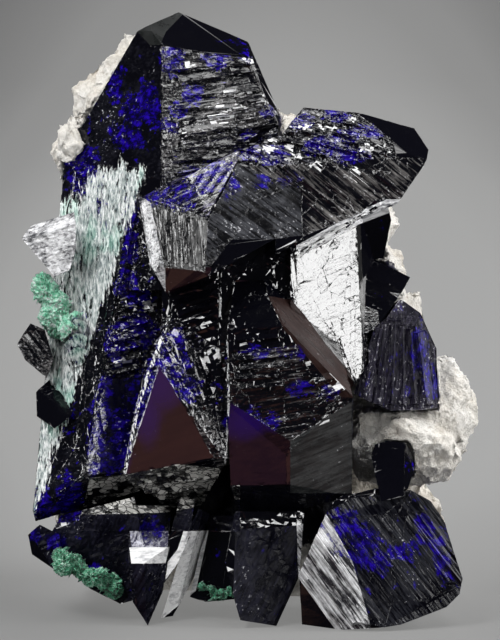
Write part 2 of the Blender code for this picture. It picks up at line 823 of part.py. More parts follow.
def main():
    clear_scene()
    specimen = new_collection("azurite_specimen")
    helpers = new_collection("helpers")
    foot = ground()
    groups = (
        summit_crystal()
        + cross_crystal()
        + left_crystal()
        + central_crystals()
        + right_crystals()
        + lower_crystals()
        + foot_crystals()
    )
    groups = [[*faces, foot] for faces in groups]
    lone = lone_crystals()
    lone_shapes = [shape for shapes, _ in lone.values() for shape in shapes]
    under = [(foot[0], -foot[1])]

    def solids(name, shapes, grow=0.0):
        return [crystal(f"{name}_{index}", faces, helpers, grow) for index, faces in enumerate(shapes)]

    bodies = [fused("azurite_cluster", solids("grown", groups), specimen, AZURITE)]
    for name, (shapes, recipe) in lone.items():
        body = fused(name, solids(name, shapes), specimen, recipe)
        cut_from(body, solids("room", groups, GAP))
        keep_largest(body)
        bodies.append(body)
    crusts = {
        "malachite_left": (((-20.0, 35.2, 0.6), (-19.4, 32.0, 0.0), (-18.6, 29.6, -0.4)), 1.7, 9, 31),
        "malachite_lower_left": (((-18.8, 7.6, -3.0), (-16.4, 6.0, -3.6), (-13.2, 4.0, -3.6)), 1.35, 11, 47),
        "malachite_foot": (((-4.6, 4.4, -2.8), (-3.2, 3.8, -3.2), (-2.0, 3.6, -3.0)), 1.0, 5, 73),
    }
    rock = fused("host_rock", host_rock(helpers), specimen, ROCK)
    for name, (path, radius, count, seed) in crusts.items():
        body = fused(name, crust(name, helpers, path, radius, count, seed), specimen, MALACHITE)
        cut_from(body, solids("room", groups + lone_shapes, GAP))
        keep_largest(body)
        bodies.append(body)
        cut_from(rock, crust(f"{name}_room", helpers, path, radius + GAP / CELL, count, seed))
    cut_from(rock, solids("room", groups + lone_shapes, GAP) + solids("under", [under]))
    keep_largest(rock)
    bodies.append(rock)
    stand(bodies)
    bpy.context.view_layer.update()


main()
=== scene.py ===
"""Dresses the azurite specimen: crystal faces with striations and ledges, pale rock, green crusts and studio light."""

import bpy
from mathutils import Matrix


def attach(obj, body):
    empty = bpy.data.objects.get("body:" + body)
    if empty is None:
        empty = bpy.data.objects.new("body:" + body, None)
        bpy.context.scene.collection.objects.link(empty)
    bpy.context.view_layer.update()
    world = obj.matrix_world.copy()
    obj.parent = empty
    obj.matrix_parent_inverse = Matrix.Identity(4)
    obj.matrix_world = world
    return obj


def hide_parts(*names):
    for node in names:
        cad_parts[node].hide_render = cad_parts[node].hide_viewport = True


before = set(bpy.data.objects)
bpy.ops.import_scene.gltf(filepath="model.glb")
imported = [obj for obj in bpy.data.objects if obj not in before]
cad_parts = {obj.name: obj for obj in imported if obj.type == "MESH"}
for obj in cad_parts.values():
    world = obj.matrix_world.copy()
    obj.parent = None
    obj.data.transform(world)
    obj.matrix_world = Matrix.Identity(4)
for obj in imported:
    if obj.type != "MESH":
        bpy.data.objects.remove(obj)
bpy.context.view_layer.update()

import math
import random

import bmesh
import bpy
from mathutils import Matrix, Vector, noise

PIXEL = 0.00016  # metres in the specimen for one pixel of the photograph
LEAN = math.radians(10.0)  # the specimen leans back by this, and the camera looks down by it
SHIFT = Vector((0.0001, -0.0165, -0.0023))  # from picture space's origin to the frame's, in metres
CENTRE = Vector((250.0, 0.0, 310.0))  # the middle of the photograph, in picture space
BASE = 630.0  # the photograph's row that is z = 0 in picture space

# Picture space: x to the right and z upwards in pixels of the photograph, y away from the viewer.
TO_WORLD = (
    Matrix.Translation(SHIFT)
    @ Matrix.Rotation(-LEAN, 4, "X")
    @ Matrix.Scale(PIXEL, 4)
    @ Matrix.Translation(Vector((-250.0, 0.0, 0.0)))
)
TO_PICTURE = TO_WORLD.inverted()

# Lengths in pixels and shares that the cutting uses.
EPSILON = 0.015  # a corner this near a cut lies on it
MARGIN = 0.3  # a cut this near the end of a face is left out
END_MARGIN = 0.5  # an outline's stretch that reaches less than this into a face leaves it whole
SMALL_FACE = 30.0  # a group of faces with less than this, twice its area, stays plain
SHORT_STRIP = 2.0  # a strip shorter than this isn't broken across
END_CHIP = 0.7  # the first and the last break of a strip are this far from its ends
ROWS = 3.0  # lines of relief told apart in one pixel
BROAD = 42.0  # the size of the areas with more or less relief
FRONT = -0.05  # a face is towards the viewer where its normal's y is less than this
FLAT_ANGLE = math.radians(0.7)  # facets that meet at less than this are one face
ALIKE = 4.0  # how finely normals are told apart when faces are grouped
LARGE_GLINT = 22.0  # faces with more than about this, twice their area, don't glint
WEAR = 0.7  # the most that a crystal's corner is nibbled
FOOT_HEIGHT = 0.0006  # metres above the floor; what is lower isn't nibbled


def inside(outline, x, y):
    """True where a pixel lies within an outline of pixels."""
    found = False
    count = len(outline)
    for i in range(count):
        ax, ay = outline[i]
        bx, by = outline[(i + 1) % count]
        if (ay > y) != (by > y) and x < (bx - ax) * (y - ay) / (by - ay) + ax:
            found = not found
    return found


def along(normal, angle):
    """The direction in a face that runs at an angle in the picture, anticlockwise from the right."""
    dx = math.cos(math.radians(angle))
    dz = math.sin(math.radians(angle))
    dy = 0.0
    if abs(normal.y) > 0.15:
        dy = -(dx * normal.x + dz * normal.z) / normal.y
    line = Vector((dx, dy, dz))
    line -= normal * line.dot(normal)
    return line.normalized()


class Shell:
    """Convex faces that share their corners.

    A cut adds the same corner to both faces of an edge, so no gap opens.
    """

    def __init__(self, bm):
        bm.verts.ensure_lookup_table()
        self.points = [v.co.to_tuple() for v in bm.verts]
        self.loops = {number: [v.index for v in f.verts] for number, f in enumerate(bm.faces)}
        self.looks = {}
        self.middles = {}
        self.next = len(self.loops)

    def loop(self, face):
        """The face's corners, with those that its neighbours have added."""
        loop = self.loops[face]
        while True:
            found = []
            grown = False
            for i, a in enumerate(loop):
                b = loop[(i + 1) % len(loop)]
                found.append(a)
                middle = self.middles.get((a, b) if a < b else (b, a))
                if middle is not None:
                    found.append(middle)
                    grown = True
            loop = found
            if not grown:
                break
        self.loops[face] = loop
        return loop

    def middle(self, a, b, share):
        """Adds a corner on the edge from a to b."""
        p, q = self.points[a], self.points[b]
        self.points.append(tuple(p[k] + (q[k] - p[k]) * share for k in range(3)))
        self.middles[(a, b) if a < b else (b, a)] = len(self.points) - 1
        return len(self.points) - 1

    def cut(self, face, across, level):
        """Cuts a face by a plane and gives its lower and upper part, or None for a part that isn't there."""
        x, y, z = across
        points = self.points
        loop = self.loop(face)
        side = [x * points[v][0] + y * points[v][1] + z * points[v][2] - level for v in loop]
        if max(side) < MARGIN:
            return face, None
        if min(side) > -MARGIN:
            return None, face
        low, high = [], []
        for i, v in enumerate(loop):
            j = (i + 1) % len(loop)
            s, t = side[i], side[j]
            if s <= EPSILON:
                low.append(v)
            if s >= -EPSILON:
                high.append(v)
            if (s < -EPSILON and t > EPSILON) or (s > EPSILON and t < -EPSILON):
                new = self.middle(v, loop[j], s / (s - t))
                low.append(new)
                high.append(new)
        if len(low) < 3:
            return None, face
        if len(high) < 3:
            return face, None
        self.loops[face] = low
        self.loops[self.next] = high
        self.looks[self.next] = self.looks.get(face)
        self.next += 1
        return face, self.next - 1

    def span(self, face, way):
        """Where the face starts and ends along a direction."""
        points = self.points
        sides = [way[0] * points[v][0] + way[1] * points[v][1] + way[2] * points[v][2] for v in self.loop(face)]
        return min(sides), max(sides)

    def middle_of(self, face):
        loop = self.loop(face)
        return [sum(self.points[v][k] for v in loop) / len(loop) for k in range(3)]

    def vector(self, face):
        """The face's normal times twice its area."""
        loop = self.loop(face)
        first = Vector(self.points[loop[0]])
        total = Vector()
        before = Vector(self.points[loop[1]]) - first
        for v in loop[2:]:
            after = Vector(self.points[v]) - first
            total += before.cross(after)
            before = after
        return total

    def slices(self, faces, across, levels):
        """Cuts faces by parallel planes and gives all the parts."""
        done = []
        for face in faces:
            low, high = self.span(face, across)
            rest = face
            for level in levels:
                if level <= low or level >= high:
                    continue
                part, rest = self.cut(rest, across, level)
                if part is not None:
                    done.append(part)
                if rest is None:
                    break
            if rest is not None:
                done.append(rest)
        return done


def spread(rng, low, high, least, most):
    """Places from low to high, with random gaps between the least and the most."""
    places = []
    place = low + rng.uniform(least, most) * 0.5
    while place < high:
        places.append(place)
        place += least + (most - least) * rng.random() ** 2
    return places


def carve(shell, faces, relief, seed):
    """Works striations or ledges into faces.

    The faces are cut along a line and broken across it, and every line gets its own level.
    """
    rng = random.Random(seed)
    normal = Vector()
    for face in faces:
        normal += shell.vector(face)
    if normal.length < SMALL_FACE:
        return faces
    normal.normalize()
    line = along(normal, relief["angle"])
    across = normal.cross(line).normalized()
    spans = [shell.span(face, across) for face in faces]
    levels = spread(rng, min(s[0] for s in spans), max(s[1] for s in spans), *relief["gap"])
    strips = shell.slices(faces, across, levels)
    broken = []
    for face in strips:
        low, high = shell.span(face, line)
        if high - low < SHORT_STRIP:
            broken.append(face)
            continue
        skew = rng.uniform(-0.5, 0.5)
        tilt = (line + across * skew).normalized()
        low, high = shell.span(face, tilt)
        breaks = [low + END_CHIP] + spread(rng, low, high, *relief["run"]) + [high - END_CHIP]
        broken += shell.slices([face], tilt, sorted(breaks))
    edges = {}
    for face in broken:
        loop = shell.loop(face)
        for i, a in enumerate(loop):
            b = loop[(i + 1) % len(loop)]
            key = (a, b) if a < b else (b, a)
            edges[key] = edges.get(key, 0) + 1
    fixed = {v for key, count in edges.items() if count == 1 for v in key}
    moved = {v for key in edges for v in key} - fixed
    depth, grain = relief["depth"], relief["grain"]
    for v in sorted(moved):
        point = Vector(shell.points[v])
        row = round(point.dot(across) * ROWS)
        base = random.Random(seed * 7919 + row).random()
        run = point.dot(line) / relief["run"][1]
        drift = noise.noise(Vector((row * 1.7, run * 1.3, seed)))
        broad = noise.noise(point / BROAD + Vector((seed, 0.0, 0.0)))
        level = base * (0.75 + 0.5 * drift) + grain * rng.random()
        point -= normal * depth * level * max(0.15, 0.75 + 1.1 * broad)
        shell.points[v] = point.to_tuple()
    return broken


# Two faces that the CAD steps or ridges and that get finer relief here: their outlines in pixels.
WHITE_OUTLINE = [(294, 252), (352, 234), (358, 300), (350, 370), (318, 340), (300, 312)]
WHITE_PLANE = (Vector((325.0, -46.3, 330.0)), Vector((0.31, -0.95, 0.06)).normalized())
TABLET_OUTLINE = [(312, 520), (335, 508), (422, 498), (458, 586), (398, 618), (348, 624)]

# The looks of the crystals, in the order of SHADES.
LOOKS = [
    "deep", "blue", "violet", "streak", "haze", "satin", "pale", "white", "slate", "ridges", "end", "broken",
    "tablet", "silver", "fan", "grey", "matt", "scales", "wall", "brown", "umber", "top_glare", "flank",
]


def relief(angle, gap, run, depth, grain=0.25):
    """Relief in pixels: lines at an angle, least and most gap and length, depth, and the share that is grain."""
    return {"angle": angle, "gap": gap, "run": run, "depth": depth, "grain": grain}


# Each part of the cluster: its outline in pixels, its look and its relief, or None where it stays plain.
# The first outline that holds a face is used.
PARTS = {
    # The flash parts are painted highlights along the crystals' edges.
    "bevel_line": ([(168, 318), (171, 318), (141, 404), (127, 474), (123, 473), (137, 402)], "flash",
        relief(100, (1.0, 2.0), (3, 12), 0.5, 0.8)),
    "crack_line": ([(226, 340), (228, 340), (230, 400), (226, 470), (224, 470), (228, 400)], "flash",
        relief(90, (0.8, 1.6), (2, 9), 0.5, 0.8)),
    "blade_rim": ([(300, 251), (330, 232), (376, 206), (377, 209), (332, 237), (301, 256)], "flash",
        relief(30, (1.0, 2.2), (3, 12), 0.5, 0.6)),
    "grey_cap": ([(137, 31), (176, 8), (183, 12), (166, 31), (160, 45), (150, 45)], "satin", None),
    "summit_top": ([(160, 46), (166, 31), (178, 8), (250, 40), (252, 58), (170, 47)], "deep", None),
    "summit_left": ([(60, 160), (137, 28), (152, 44), (161, 46), (161, 180), (110, 165)], "streak",
        relief(6, (1.3, 4.0), (6, 26), 0.22, 0.3)),
    "summit_front": ([(161, 44), (252, 55), (266, 100), (278, 112), (240, 150), (162, 185)], "slate",
        relief(8, (1.6, 6.0), (5, 22), 1.5, 0.5)),
    "blade_left_top": ([(141, 198), (165, 185), (240, 150), (238, 160), (207, 220), (190, 212), (150, 200)], "violet",
        relief(24, (1.4, 3.5), (8, 26), 0.7)),
    "blade_left_end": ([(150, 200), (190, 210), (208, 222), (206, 272), (165, 268)], "end",
        relief(94, (1.0, 2.6), (14, 46), 0.4)),
    "blade_left_edge": ([(138, 195), (151, 203), (166, 268), (166, 292), (150, 263)], "pale",
        relief(100, (1.5, 3.5), (10, 30), 0.4)),
    "blade_low": ([(150, 263), (212, 268), (210, 276), (168, 294)], "brown", None),
    "blade_haze": ([(208, 222), (238, 165), (300, 190), (302, 236), (270, 240), (232, 240), (205, 275)], "haze",
        relief(20, (1.8, 5.0), (3, 12), 0.3, 0.6)),
    "blade_black": ([(205, 275), (232, 240), (270, 240), (302, 238), (270, 258), (222, 266)], "deep", None),
    "blade_top": ([(238, 158), (272, 128), (300, 104), (350, 108), (392, 140), (396, 158), (300, 165), (240, 168)],
        "broken", relief(-20, (1.8, 5.5), (3, 14), 2.0, 0.9)),
    "blade_smooth": ([(350, 108), (430, 128), (430, 160), (396, 158), (388, 138)], "deep", None),
    "blade_right": ([(300, 238), (302, 190), (240, 168), (300, 165), (425, 156), (405, 200), (375, 200), (360, 214)],
        "ridges", relief(-40, (1.3, 4.5), (14, 60), 0.75)),
    "blade_edge": ([(296, 246), (360, 211), (410, 190), (410, 205), (360, 224), (300, 256)], "pale", None),
    "brown_band": ([(268, 296), (291, 300), (305, 316), (326, 345), (350, 373), (357, 398), (340, 396), (284, 330)],
        "umber", relief(-48, (2.5, 7.0), (8, 24), 0.10)),
    "white_cracks": ([(289, 258), (336, 240), (322, 268), (328, 286), (314, 300), (324, 322), (340, 340), (352, 376),
        (300, 326)], "wall", relief(30, (2.4, 6.5), (3, 9), 0.26, 0.7)),
    "white_face": ([(288, 256), (320, 240), (360, 220), (363, 300), (361, 380), (350, 376), (315, 345), (296, 318)],
        "wall", relief(22, (2.0, 8.0), (24, 70), 0.20, 0.03)),
    "streaky_side": ([(60, 156), (152, 156), (140, 200), (125, 265), (108, 330), (92, 420), (84, 474), (30, 530)],
        "streak", relief(97, (1.6, 4.5), (10, 40), 0.8, 0.4)),
    "blue_front_rough": ([(140, 200), (150, 262), (168, 318), (150, 352), (142, 375), (100, 380), (108, 330),
        (125, 262)], "blue", relief(15, (2.0, 5.5), (3, 14), 1.3, 0.9)),
    "blue_front": ([(142, 372), (125, 474), (84, 478), (100, 378)], "blue", relief(100, (2.0, 6.0), (6, 30), 0.5, 0.6)),
    "blue_under": ([(40, 520), (84, 470), (90, 480), (80, 520), (50, 524)], "blue",
        relief(40, (3.0, 8.0), (5, 20), 0.4)),
    "brown_face": ([(160, 364), (214, 456), (124, 474)], "brown", relief(20, (4.0, 9.0), (6, 12), 0.02, 0.0)),
    "bevel": ([(170, 316), (160, 366), (124, 474), (122, 470), (140, 400), (150, 350)], "blue",
        relief(100, (1.5, 4.0), (3, 10), 1.4, 1.0)),
    "centre_glints": ([(170, 316), (214, 345), (228, 352), (228, 400), (190, 415), (160, 366)], "blue",
        relief(110, (2.0, 5.0), (3, 14), 1.3, 0.9)),
    "grey_strip": ([(190, 410), (228, 395), (228, 480), (213, 460)], "slate",
        relief(100, (2.0, 5.0), (3, 12), 0.6, 0.8)),
    "black_block": ([(165, 280), (228, 262), (296, 240), (296, 345), (228, 352), (172, 320)], "deep",
        relief(15, (2.0, 7.0), (5, 30), 0.9, 0.6)),
    "centre_top": ([(228, 330), (290, 330), (352, 392), (352, 400), (290, 440), (228, 400)], "slate",
        relief(12, (2.0, 6.5), (5, 24), 0.9, 0.6)),
    "centre_grey": ([(290, 440), (352, 395), (354, 492), (290, 492)], "grey", relief(22, (1.3, 3.5), (10, 40), 0.3)),
    "centre_purple": ([(228, 398), (292, 440), (292, 484), (226, 484)], "brown", relief(12, (3.0, 8.0), (8, 24), 0.12)),
    "under_left": ([(80, 470), (170, 462), (240, 470), (240, 498), (165, 512), (80, 514)], "scales",
        relief(-14, (2.0, 5.0), (5, 16), 1.2, 0.6)),
    "under_low": ([(80, 514), (165, 512), (240, 498), (240, 530), (165, 530), (80, 530)], "matt",
        relief(-14, (2.0, 5.0), (5, 16), 1.0, 0.6)),
    "under_right": ([(240, 470), (360, 480), (345, 500), (300, 524), (240, 528)], "deep",
        relief(-6, (2.0, 6.0), (6, 24), 0.7, 0.6)),
    "tablet_left": ([(296, 512), (322, 506), (352, 560), (372, 632), (338, 632), (298, 576)], "silver",
        relief(-54, (1.0, 2.4), (20, 70), 0.45)),
    "tablet": ([(318, 500), (430, 488), (470, 590), (400, 630), (340, 632)], "tablet",
        relief(-52, (1.0, 2.8), (16, 60), 0.3)),
    "tablet_brown": ([(298, 572), (342, 632), (268, 632)], "deep", None),
    "navy_left": ([(236, 520), (302, 518), (300, 580), (278, 632), (232, 628)], "matt",
        relief(80, (2.0, 6.0), (5, 26), 0.5, 0.8)),
    "prism_top": ([(128, 512), (170, 512), (168, 546), (132, 546)], "top_glare", relief(70, (1.5, 4.0), (5, 18), 0.5, 0.4)),
    "prism_flat": ([(130, 546), (170, 546), (166, 562), (132, 562)], "white", None),
    "prism_low": ([(132, 560), (168, 560), (160, 624), (140, 624)], "matt", relief(80, (1.5, 4.0), (5, 16), 0.7, 0.9)),
    "white_blade": ([(192, 505), (212, 515), (196, 590), (160, 620), (156, 600), (165, 565), (178, 548)], "white",
        relief(5, (1.6, 5.0), (5, 20), 0.5)),
    "black_blade": ([(170, 498), (196, 498), (192, 530), (164, 600), (160, 600)], "deep", None),
    "low_left": ([(24, 522), (136, 512), (136, 606), (60, 580)], "matt", relief(20, (2.0, 6.0), (4, 14), 1.0, 0.9)),
    "navy_blocks": ([(350, 200), (420, 200), (425, 330), (350, 300)], "deep", relief(-30, (4.0, 12.0), (12, 40), 0.25)),
    "dark_stripe": ([(352, 222), (366, 222), (380, 330), (356, 392)], "slate", relief(95, (2.0, 5.0), (10, 40), 0.3)),
}

# The relief of faces that no outline holds, which are those at the sides and the back.
ELSEWHERE = relief(12, (14.0, 38.0), (36, 120), 0.7, 0.5)

# Where blue light gets out of the crystal: centre, half width, half height, in pixels.
BLUES = [
    (115, 82, 8, 20), (134, 116, 12, 18), (126, 136, 16, 14), (82, 160, 16, 12), (173, 58, 12, 18),
    (105, 70, 6, 6), (150, 105, 10, 20), (180, 110, 10, 10), (195, 95, 12, 10),
    (245, 50, 8, 14), (170, 125, 10, 10), (270, 112, 8, 8), (215, 60, 16, 10), (205, 172, 22, 11), (231, 188, 9, 20),
    (155, 200, 12, 9), (178, 205, 16, 9), (190, 188, 22, 8), (302, 123, 12, 7), (336, 116, 14, 7), (332, 146, 18, 12),
    (352, 160, 18, 10), (250, 136, 14, 7), (262, 184, 14, 8), (288, 180, 14, 10), (275, 158, 14, 12), (346, 136, 12, 7),
    (370, 132, 14, 7), (248, 155, 12, 9), (312, 150, 12, 8), (131, 245, 7, 20), (127, 285, 11, 16), (135, 332, 20, 16),
    (116, 345, 10, 20), (104, 410, 10, 30), (96, 440, 8, 30), (122, 440, 9, 30), (108, 455, 16, 16), (70, 498, 12, 22),
    (130, 215, 8, 16), (140, 300, 12, 10), (172, 364, 17, 15), (165, 346, 9, 12), (190, 388, 11, 12), (178, 340, 8, 12),
    (256, 350, 18, 9), (252, 424, 12, 9), (272, 420, 10, 9), (300, 388, 14, 10), (330, 392, 10, 8), (290, 350, 14, 8),
    (338, 515, 15, 8), (326, 524, 13, 8), (345, 530, 13, 11), (337, 545, 13, 12), (350, 562, 11, 14),
    (376, 560, 14, 13), (404, 550, 16, 9), (424, 528, 10, 16), (442, 560, 9, 20), (360, 540, 20, 20),
    (394, 266, 9, 6), (384, 225, 10, 10), (380, 300, 8, 10), (34, 536, 10, 8), (56, 544, 10, 12),
    (92, 572, 13, 9), (152, 528, 12, 12), (74, 332, 9, 4), (72, 348, 10, 7), (214, 556, 12, 26),
    (420, 350, 8, 20), (430, 385, 8, 12), (410, 465, 8, 20),
    (78, 335, 10, 24), (98, 215, 10, 18), (86, 180, 14, 16), (44, 505, 10, 16), (160, 384, 22, 22),
    (148, 412, 12, 26), (244, 420, 20, 16),
]

# Painted glints: small faces turned white for the lights that they mirror: centre, half width, half height, in pixels.
GLINTS = [
    (385, 152, 9, 5), (354, 176, 6, 8), (366, 148, 10, 4), (296, 158, 12, 4), (310, 128, 18, 4), (235, 108, 22, 5),
    (222, 118, 16, 6), (236, 92, 18, 3), (221, 306, 2, 22), (275, 276, 3, 14), (198, 345, 4, 16), (204, 358, 7, 6),
    (336, 384, 9, 8), (330, 421, 7, 4), (215, 352, 8, 4), (131, 305, 8, 4), (124, 362, 10, 4), (136, 84, 3, 12),
    (186, 130, 8, 5), (60, 524, 11, 4), (148, 305, 8, 6), (255, 100, 16, 6), (250, 60, 10, 4), (190, 66, 8, 4),
    (270, 140, 10, 4), (290, 148, 8, 4), (315, 165, 6, 5), (330, 128, 10, 3), (352, 120, 8, 3), (268, 150, 8, 4),
    (118, 118, 5, 5), (190, 45, 14, 2), (150, 410, 2, 2), (96, 454, 4, 2), (244, 345, 3, 6), (262, 338, 2, 6),
    (290, 340, 2, 7), (308, 358, 3, 10),
]


def part_of(x, y):
    """The name of the part that holds a pixel."""
    for name, (outline, _, _) in PARTS.items():
        if inside(outline, x, y):
            return name
    return None


def picture_mesh(node):
    """The node's mesh in picture space, welded, with few triangles where it is flat."""
    bm = bmesh.new()
    bm.from_mesh(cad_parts[node].data)
    bm.transform(TO_PICTURE)
    bmesh.ops.remove_doubles(bm, verts=bm.verts, dist=0.01)
    bmesh.ops.dissolve_limit(bm, angle_limit=FLAT_ANGLE, verts=bm.verts, edges=bm.edges)
    bmesh.ops.triangulate(bm, faces=bm.faces)
    bm.normal_update()
    return bm


def blueness(x, y):
    """How blue a place in the picture is, from 0 to 1."""
    most = 0.0
    for cx, cy, rx, ry in BLUES:
        away = ((x - cx) / rx) ** 2 + ((y - cy) / ry) ** 2
        most = max(most, 1.0 - away / 1.8)
    return most ** 0.75


def streakiness(x, y):
    """How much of the pale coat, which is partly painted reflection, a place on the left side has, from 0 to 1."""
    start = 150.0 - 14.0 * noise.noise(Vector((x / 9.0, 0.0, 5.0)))
    top = min(1.0, max(0.0, (y - start) / 26.0))
    corner = min(1.0, max(0.0, (math.hypot(x - 66.0, (y - 166.0) * 0.6) - 8.0) / 22.0))
    edge = min(1.0, max(0.0, (150.0 - x + 0.32 * (180.0 - y)) / 10.0))
    return top * corner * edge


def foot_shade_depth(point):
    """How deep a place lies in the painted shade among the crystals at the foot, from 0 to 1."""
    x, y = point.x, BASE - point.z
    side = min(1.0, max(0.0, (352.0 - x) / 8.0)) * min(1.0, max(0.0, (x - 50.0) / 8.0))
    return side * min(1.0, max(0.0, (y - 462.0) / 8.0)) * min(1.0, max(0.0, (90.0 - point.y) / 30.0))


def outline_cuts(shell):
    """Cuts the faces towards the viewer along the outlines of the parts."""
    for outline, _, _ in PARTS.values():
        for (ax, ay), (bx, by) in zip(outline, outline[1:] + outline[:1]):
            length = math.hypot(bx - ax, by - ay)
            way = ((bx - ax) / length, 0.0, (ay - by) / length)
            across = (-way[2], 0.0, way[0])
            start = ax * way[0] + (BASE - ay) * way[2]
            level = ax * across[0] + (BASE - ay) * across[2]
            for face in list(shell.loops):
                if not shell.front[face]:
                    continue
                low, high = shell.span(face, across)
                if low > level - END_MARGIN or high < level + END_MARGIN:
                    continue
                low, high = shell.span(face, way)
                if low > start + length - END_MARGIN or high < start + END_MARGIN:
                    continue
                low, high = shell.cut(face, across, level)
                if low is not None and high is not None:
                    shell.front[high] = True


def grouped(shell, faces):
    """Faces that point nearly the same way, in lists."""
    groups = {}
    for face in faces:
        normal = shell.vector(face).normalized()
        groups.setdefault(tuple(round(c * ALIKE) for c in normal), []).append(face)
    return list(groups.values())


def worn(shell):
    """Nibbles the corners of the crystals, so that no edge is quite straight."""
    normals = {}
    for face in shell.loops:
        vector = shell.vector(face)
        if vector.length < 1e-6:
            continue
        vector.normalize()
        for v in shell.loop(face):
            normals.setdefault(v, []).append(vector)
    for v, around in sorted(normals.items()):
        mean = sum(around, Vector()) / len(around)
        sharp = 1.0 - mean.length
        if sharp < 0.03:
            continue
        point = Vector(shell.points[v])
        if (TO_WORLD @ point).z < FOOT_HEIGHT:
            continue
        chip = abs(noise.noise(point / 3.1)) + 0.6 * abs(noise.noise(point / 1.3))
        point -= mean.normalized() * WEAR * chip * min(1.0, sharp * 8.0)
        shell.points[v] = point.to_tuple()


def mean_plane(bm, outline):
    """The mean place and normal of the faces within an outline."""
    normal, place, total = Vector(), Vector(), 0.0
    for face in bm.faces:
        centre = face.calc_center_median()
        if face.normal.y < -0.6 and inside(outline, centre.x, BASE - centre.z):
            area = face.calc_area()
            normal += face.normal * area
            place += centre * area
            total += area
    return place / total, normal.normalized()


def flattened(bm, outline, plane, reach):
    """Lays the corners within an outline onto a plane, where they are within reach of it."""
    place, normal = plane
    for vert in bm.verts:
        away = (vert.co - place).dot(normal)
        if abs(away) < reach and inside(outline, vert.co.x, BASE - vert.co.z):
            vert.co -= normal * away


def look_elsewhere(normal, index):
    """The look of a group of faces that no outline holds, by the way that it points."""
    if normal.y > 0.3:
        return "blue" if index % 3 else "slate"
    return "flank" if normal.y > -0.12 else "deep"


def glinting(shell):
    """Gives the flash parts, painted highlights along edges, their two looks, and turns small faces near the GLINTS
    white as painted glints.
    """
    for face in shell.loops:
        x, _, z = shell.middle_of(face)
        y = BASE - z
        wobble = 0.55 + 1.5 * noise.noise(Vector((x, y, 3.0)) / 3.0)
        # A flash part is a painted highlight along an edge: white in places, blue elsewhere.
        if shell.looks[face] == "flash":
            shell.looks[face] = "blue" if noise.noise(Vector((x, y, 9.0)) / 2.2) > 0.02 else "white"
        vector = shell.vector(face)
        if vector.y > 0.0 or vector.length > LARGE_GLINT * (1.0 + wobble):
            continue
        for cx, cy, rx, ry in GLINTS:
            # Painted glint: the face turns white.
            if ((x - cx) / rx) ** 2 + ((y - cy) / ry) ** 2 < wobble:
                shell.looks[face] = "white"


def dressed_cluster():
    """The fused crystals, cut along the outlines of their parts, each with its look and relief."""
    bm = bmesh.new()
    bm.from_mesh(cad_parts["azurite_cluster"].data)
    bm.transform(TO_PICTURE)
    bmesh.ops.remove_doubles(bm, verts=bm.verts, dist=0.01)
    bm.normal_update()
    flattened(bm, WHITE_OUTLINE, WHITE_PLANE, 8.0)
    flattened(bm, TABLET_OUTLINE, mean_plane(bm, TABLET_OUTLINE), 7.0)
    bmesh.ops.dissolve_degenerate(bm, edges=bm.edges, dist=0.02)
    bmesh.ops.dissolve_limit(bm, angle_limit=FLAT_ANGLE, verts=bm.verts, edges=bm.edges)
    bmesh.ops.triangulate(bm, faces=bm.faces)
    bm.normal_update()
    shell = Shell(bm)
    bm.free()
    shell.front = {face: shell.vector(face).normalized().y < FRONT for face in shell.loops}
    outline_cuts(shell)
    groups = {}
    for face in shell.loops:
        name = None
        if shell.front[face]:
            x, _, z = shell.middle_of(face)
            name = part_of(x, BASE - z)
        groups.setdefault(name, []).append(face)
    index = 0
    for name, faces in groups.items():
        for bucket in grouped(shell, faces):
            index += 1
            if name is None:
                look = look_elsewhere(shell.vector(bucket[0]).normalized(), index)
                shape = dict(ELSEWHERE, angle=8 + 37 * (index % 5))
            else:
                look, shape = PARTS[name][1:]
            if shape:
                bucket = carve(shell, bucket, shape, index)
            for face in bucket:
                shell.looks[face] = look
    glinting(shell)
    worn(shell)
    return shell


def finish_shell(shell, name, node):
    """Makes a shell of crystal faces into the piece that stands for its node."""
    faces = sorted(shell.loops)
    mesh = bpy.data.meshes.new(name)
    mesh.from_pydata(shell.points, [], [shell.loop(face) for face in faces])
    looks = [LOOKS.index(shell.looks.get(face) or "deep") for face in faces]
    mesh.polygons.foreach_set("material_index", looks)
    bm = bmesh.new()
    bm.from_mesh(mesh)
    bpy.data.meshes.remove(mesh)
    finish_piece(bm, name, node, SHADES)


def finish_piece(bm, name, node, materials):
    """Turns a mesh in picture space back into metres and lets it stand for its node."""
    bmesh.ops.triangulate(bm, faces=bm.faces)
    blue = bm.verts.layers.float.new("blue")
    streak = bm.verts.layers.float.new("streak")
    # The share of painted shade among the crystals at the foot.
    foot_shade = bm.verts.layers.float.new("foot_shade")
    for vert in bm.verts:
        x, y = vert.co.x, BASE - vert.co.z
        vert[blue], vert[streak], vert[foot_shade] = blueness(x, y), streakiness(x, y), foot_shade_depth(vert.co)
    bm.transform(TO_WORLD)
    mesh = bpy.data.meshes.new(name)
    bm.to_mesh(mesh)
    bm.free()
    piece = bpy.data.objects.new(name, mesh)
    bpy.context.scene.collection.objects.link(piece)
    for material in materials:
        mesh.materials.append(material)
    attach(piece, "root")
    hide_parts(node)


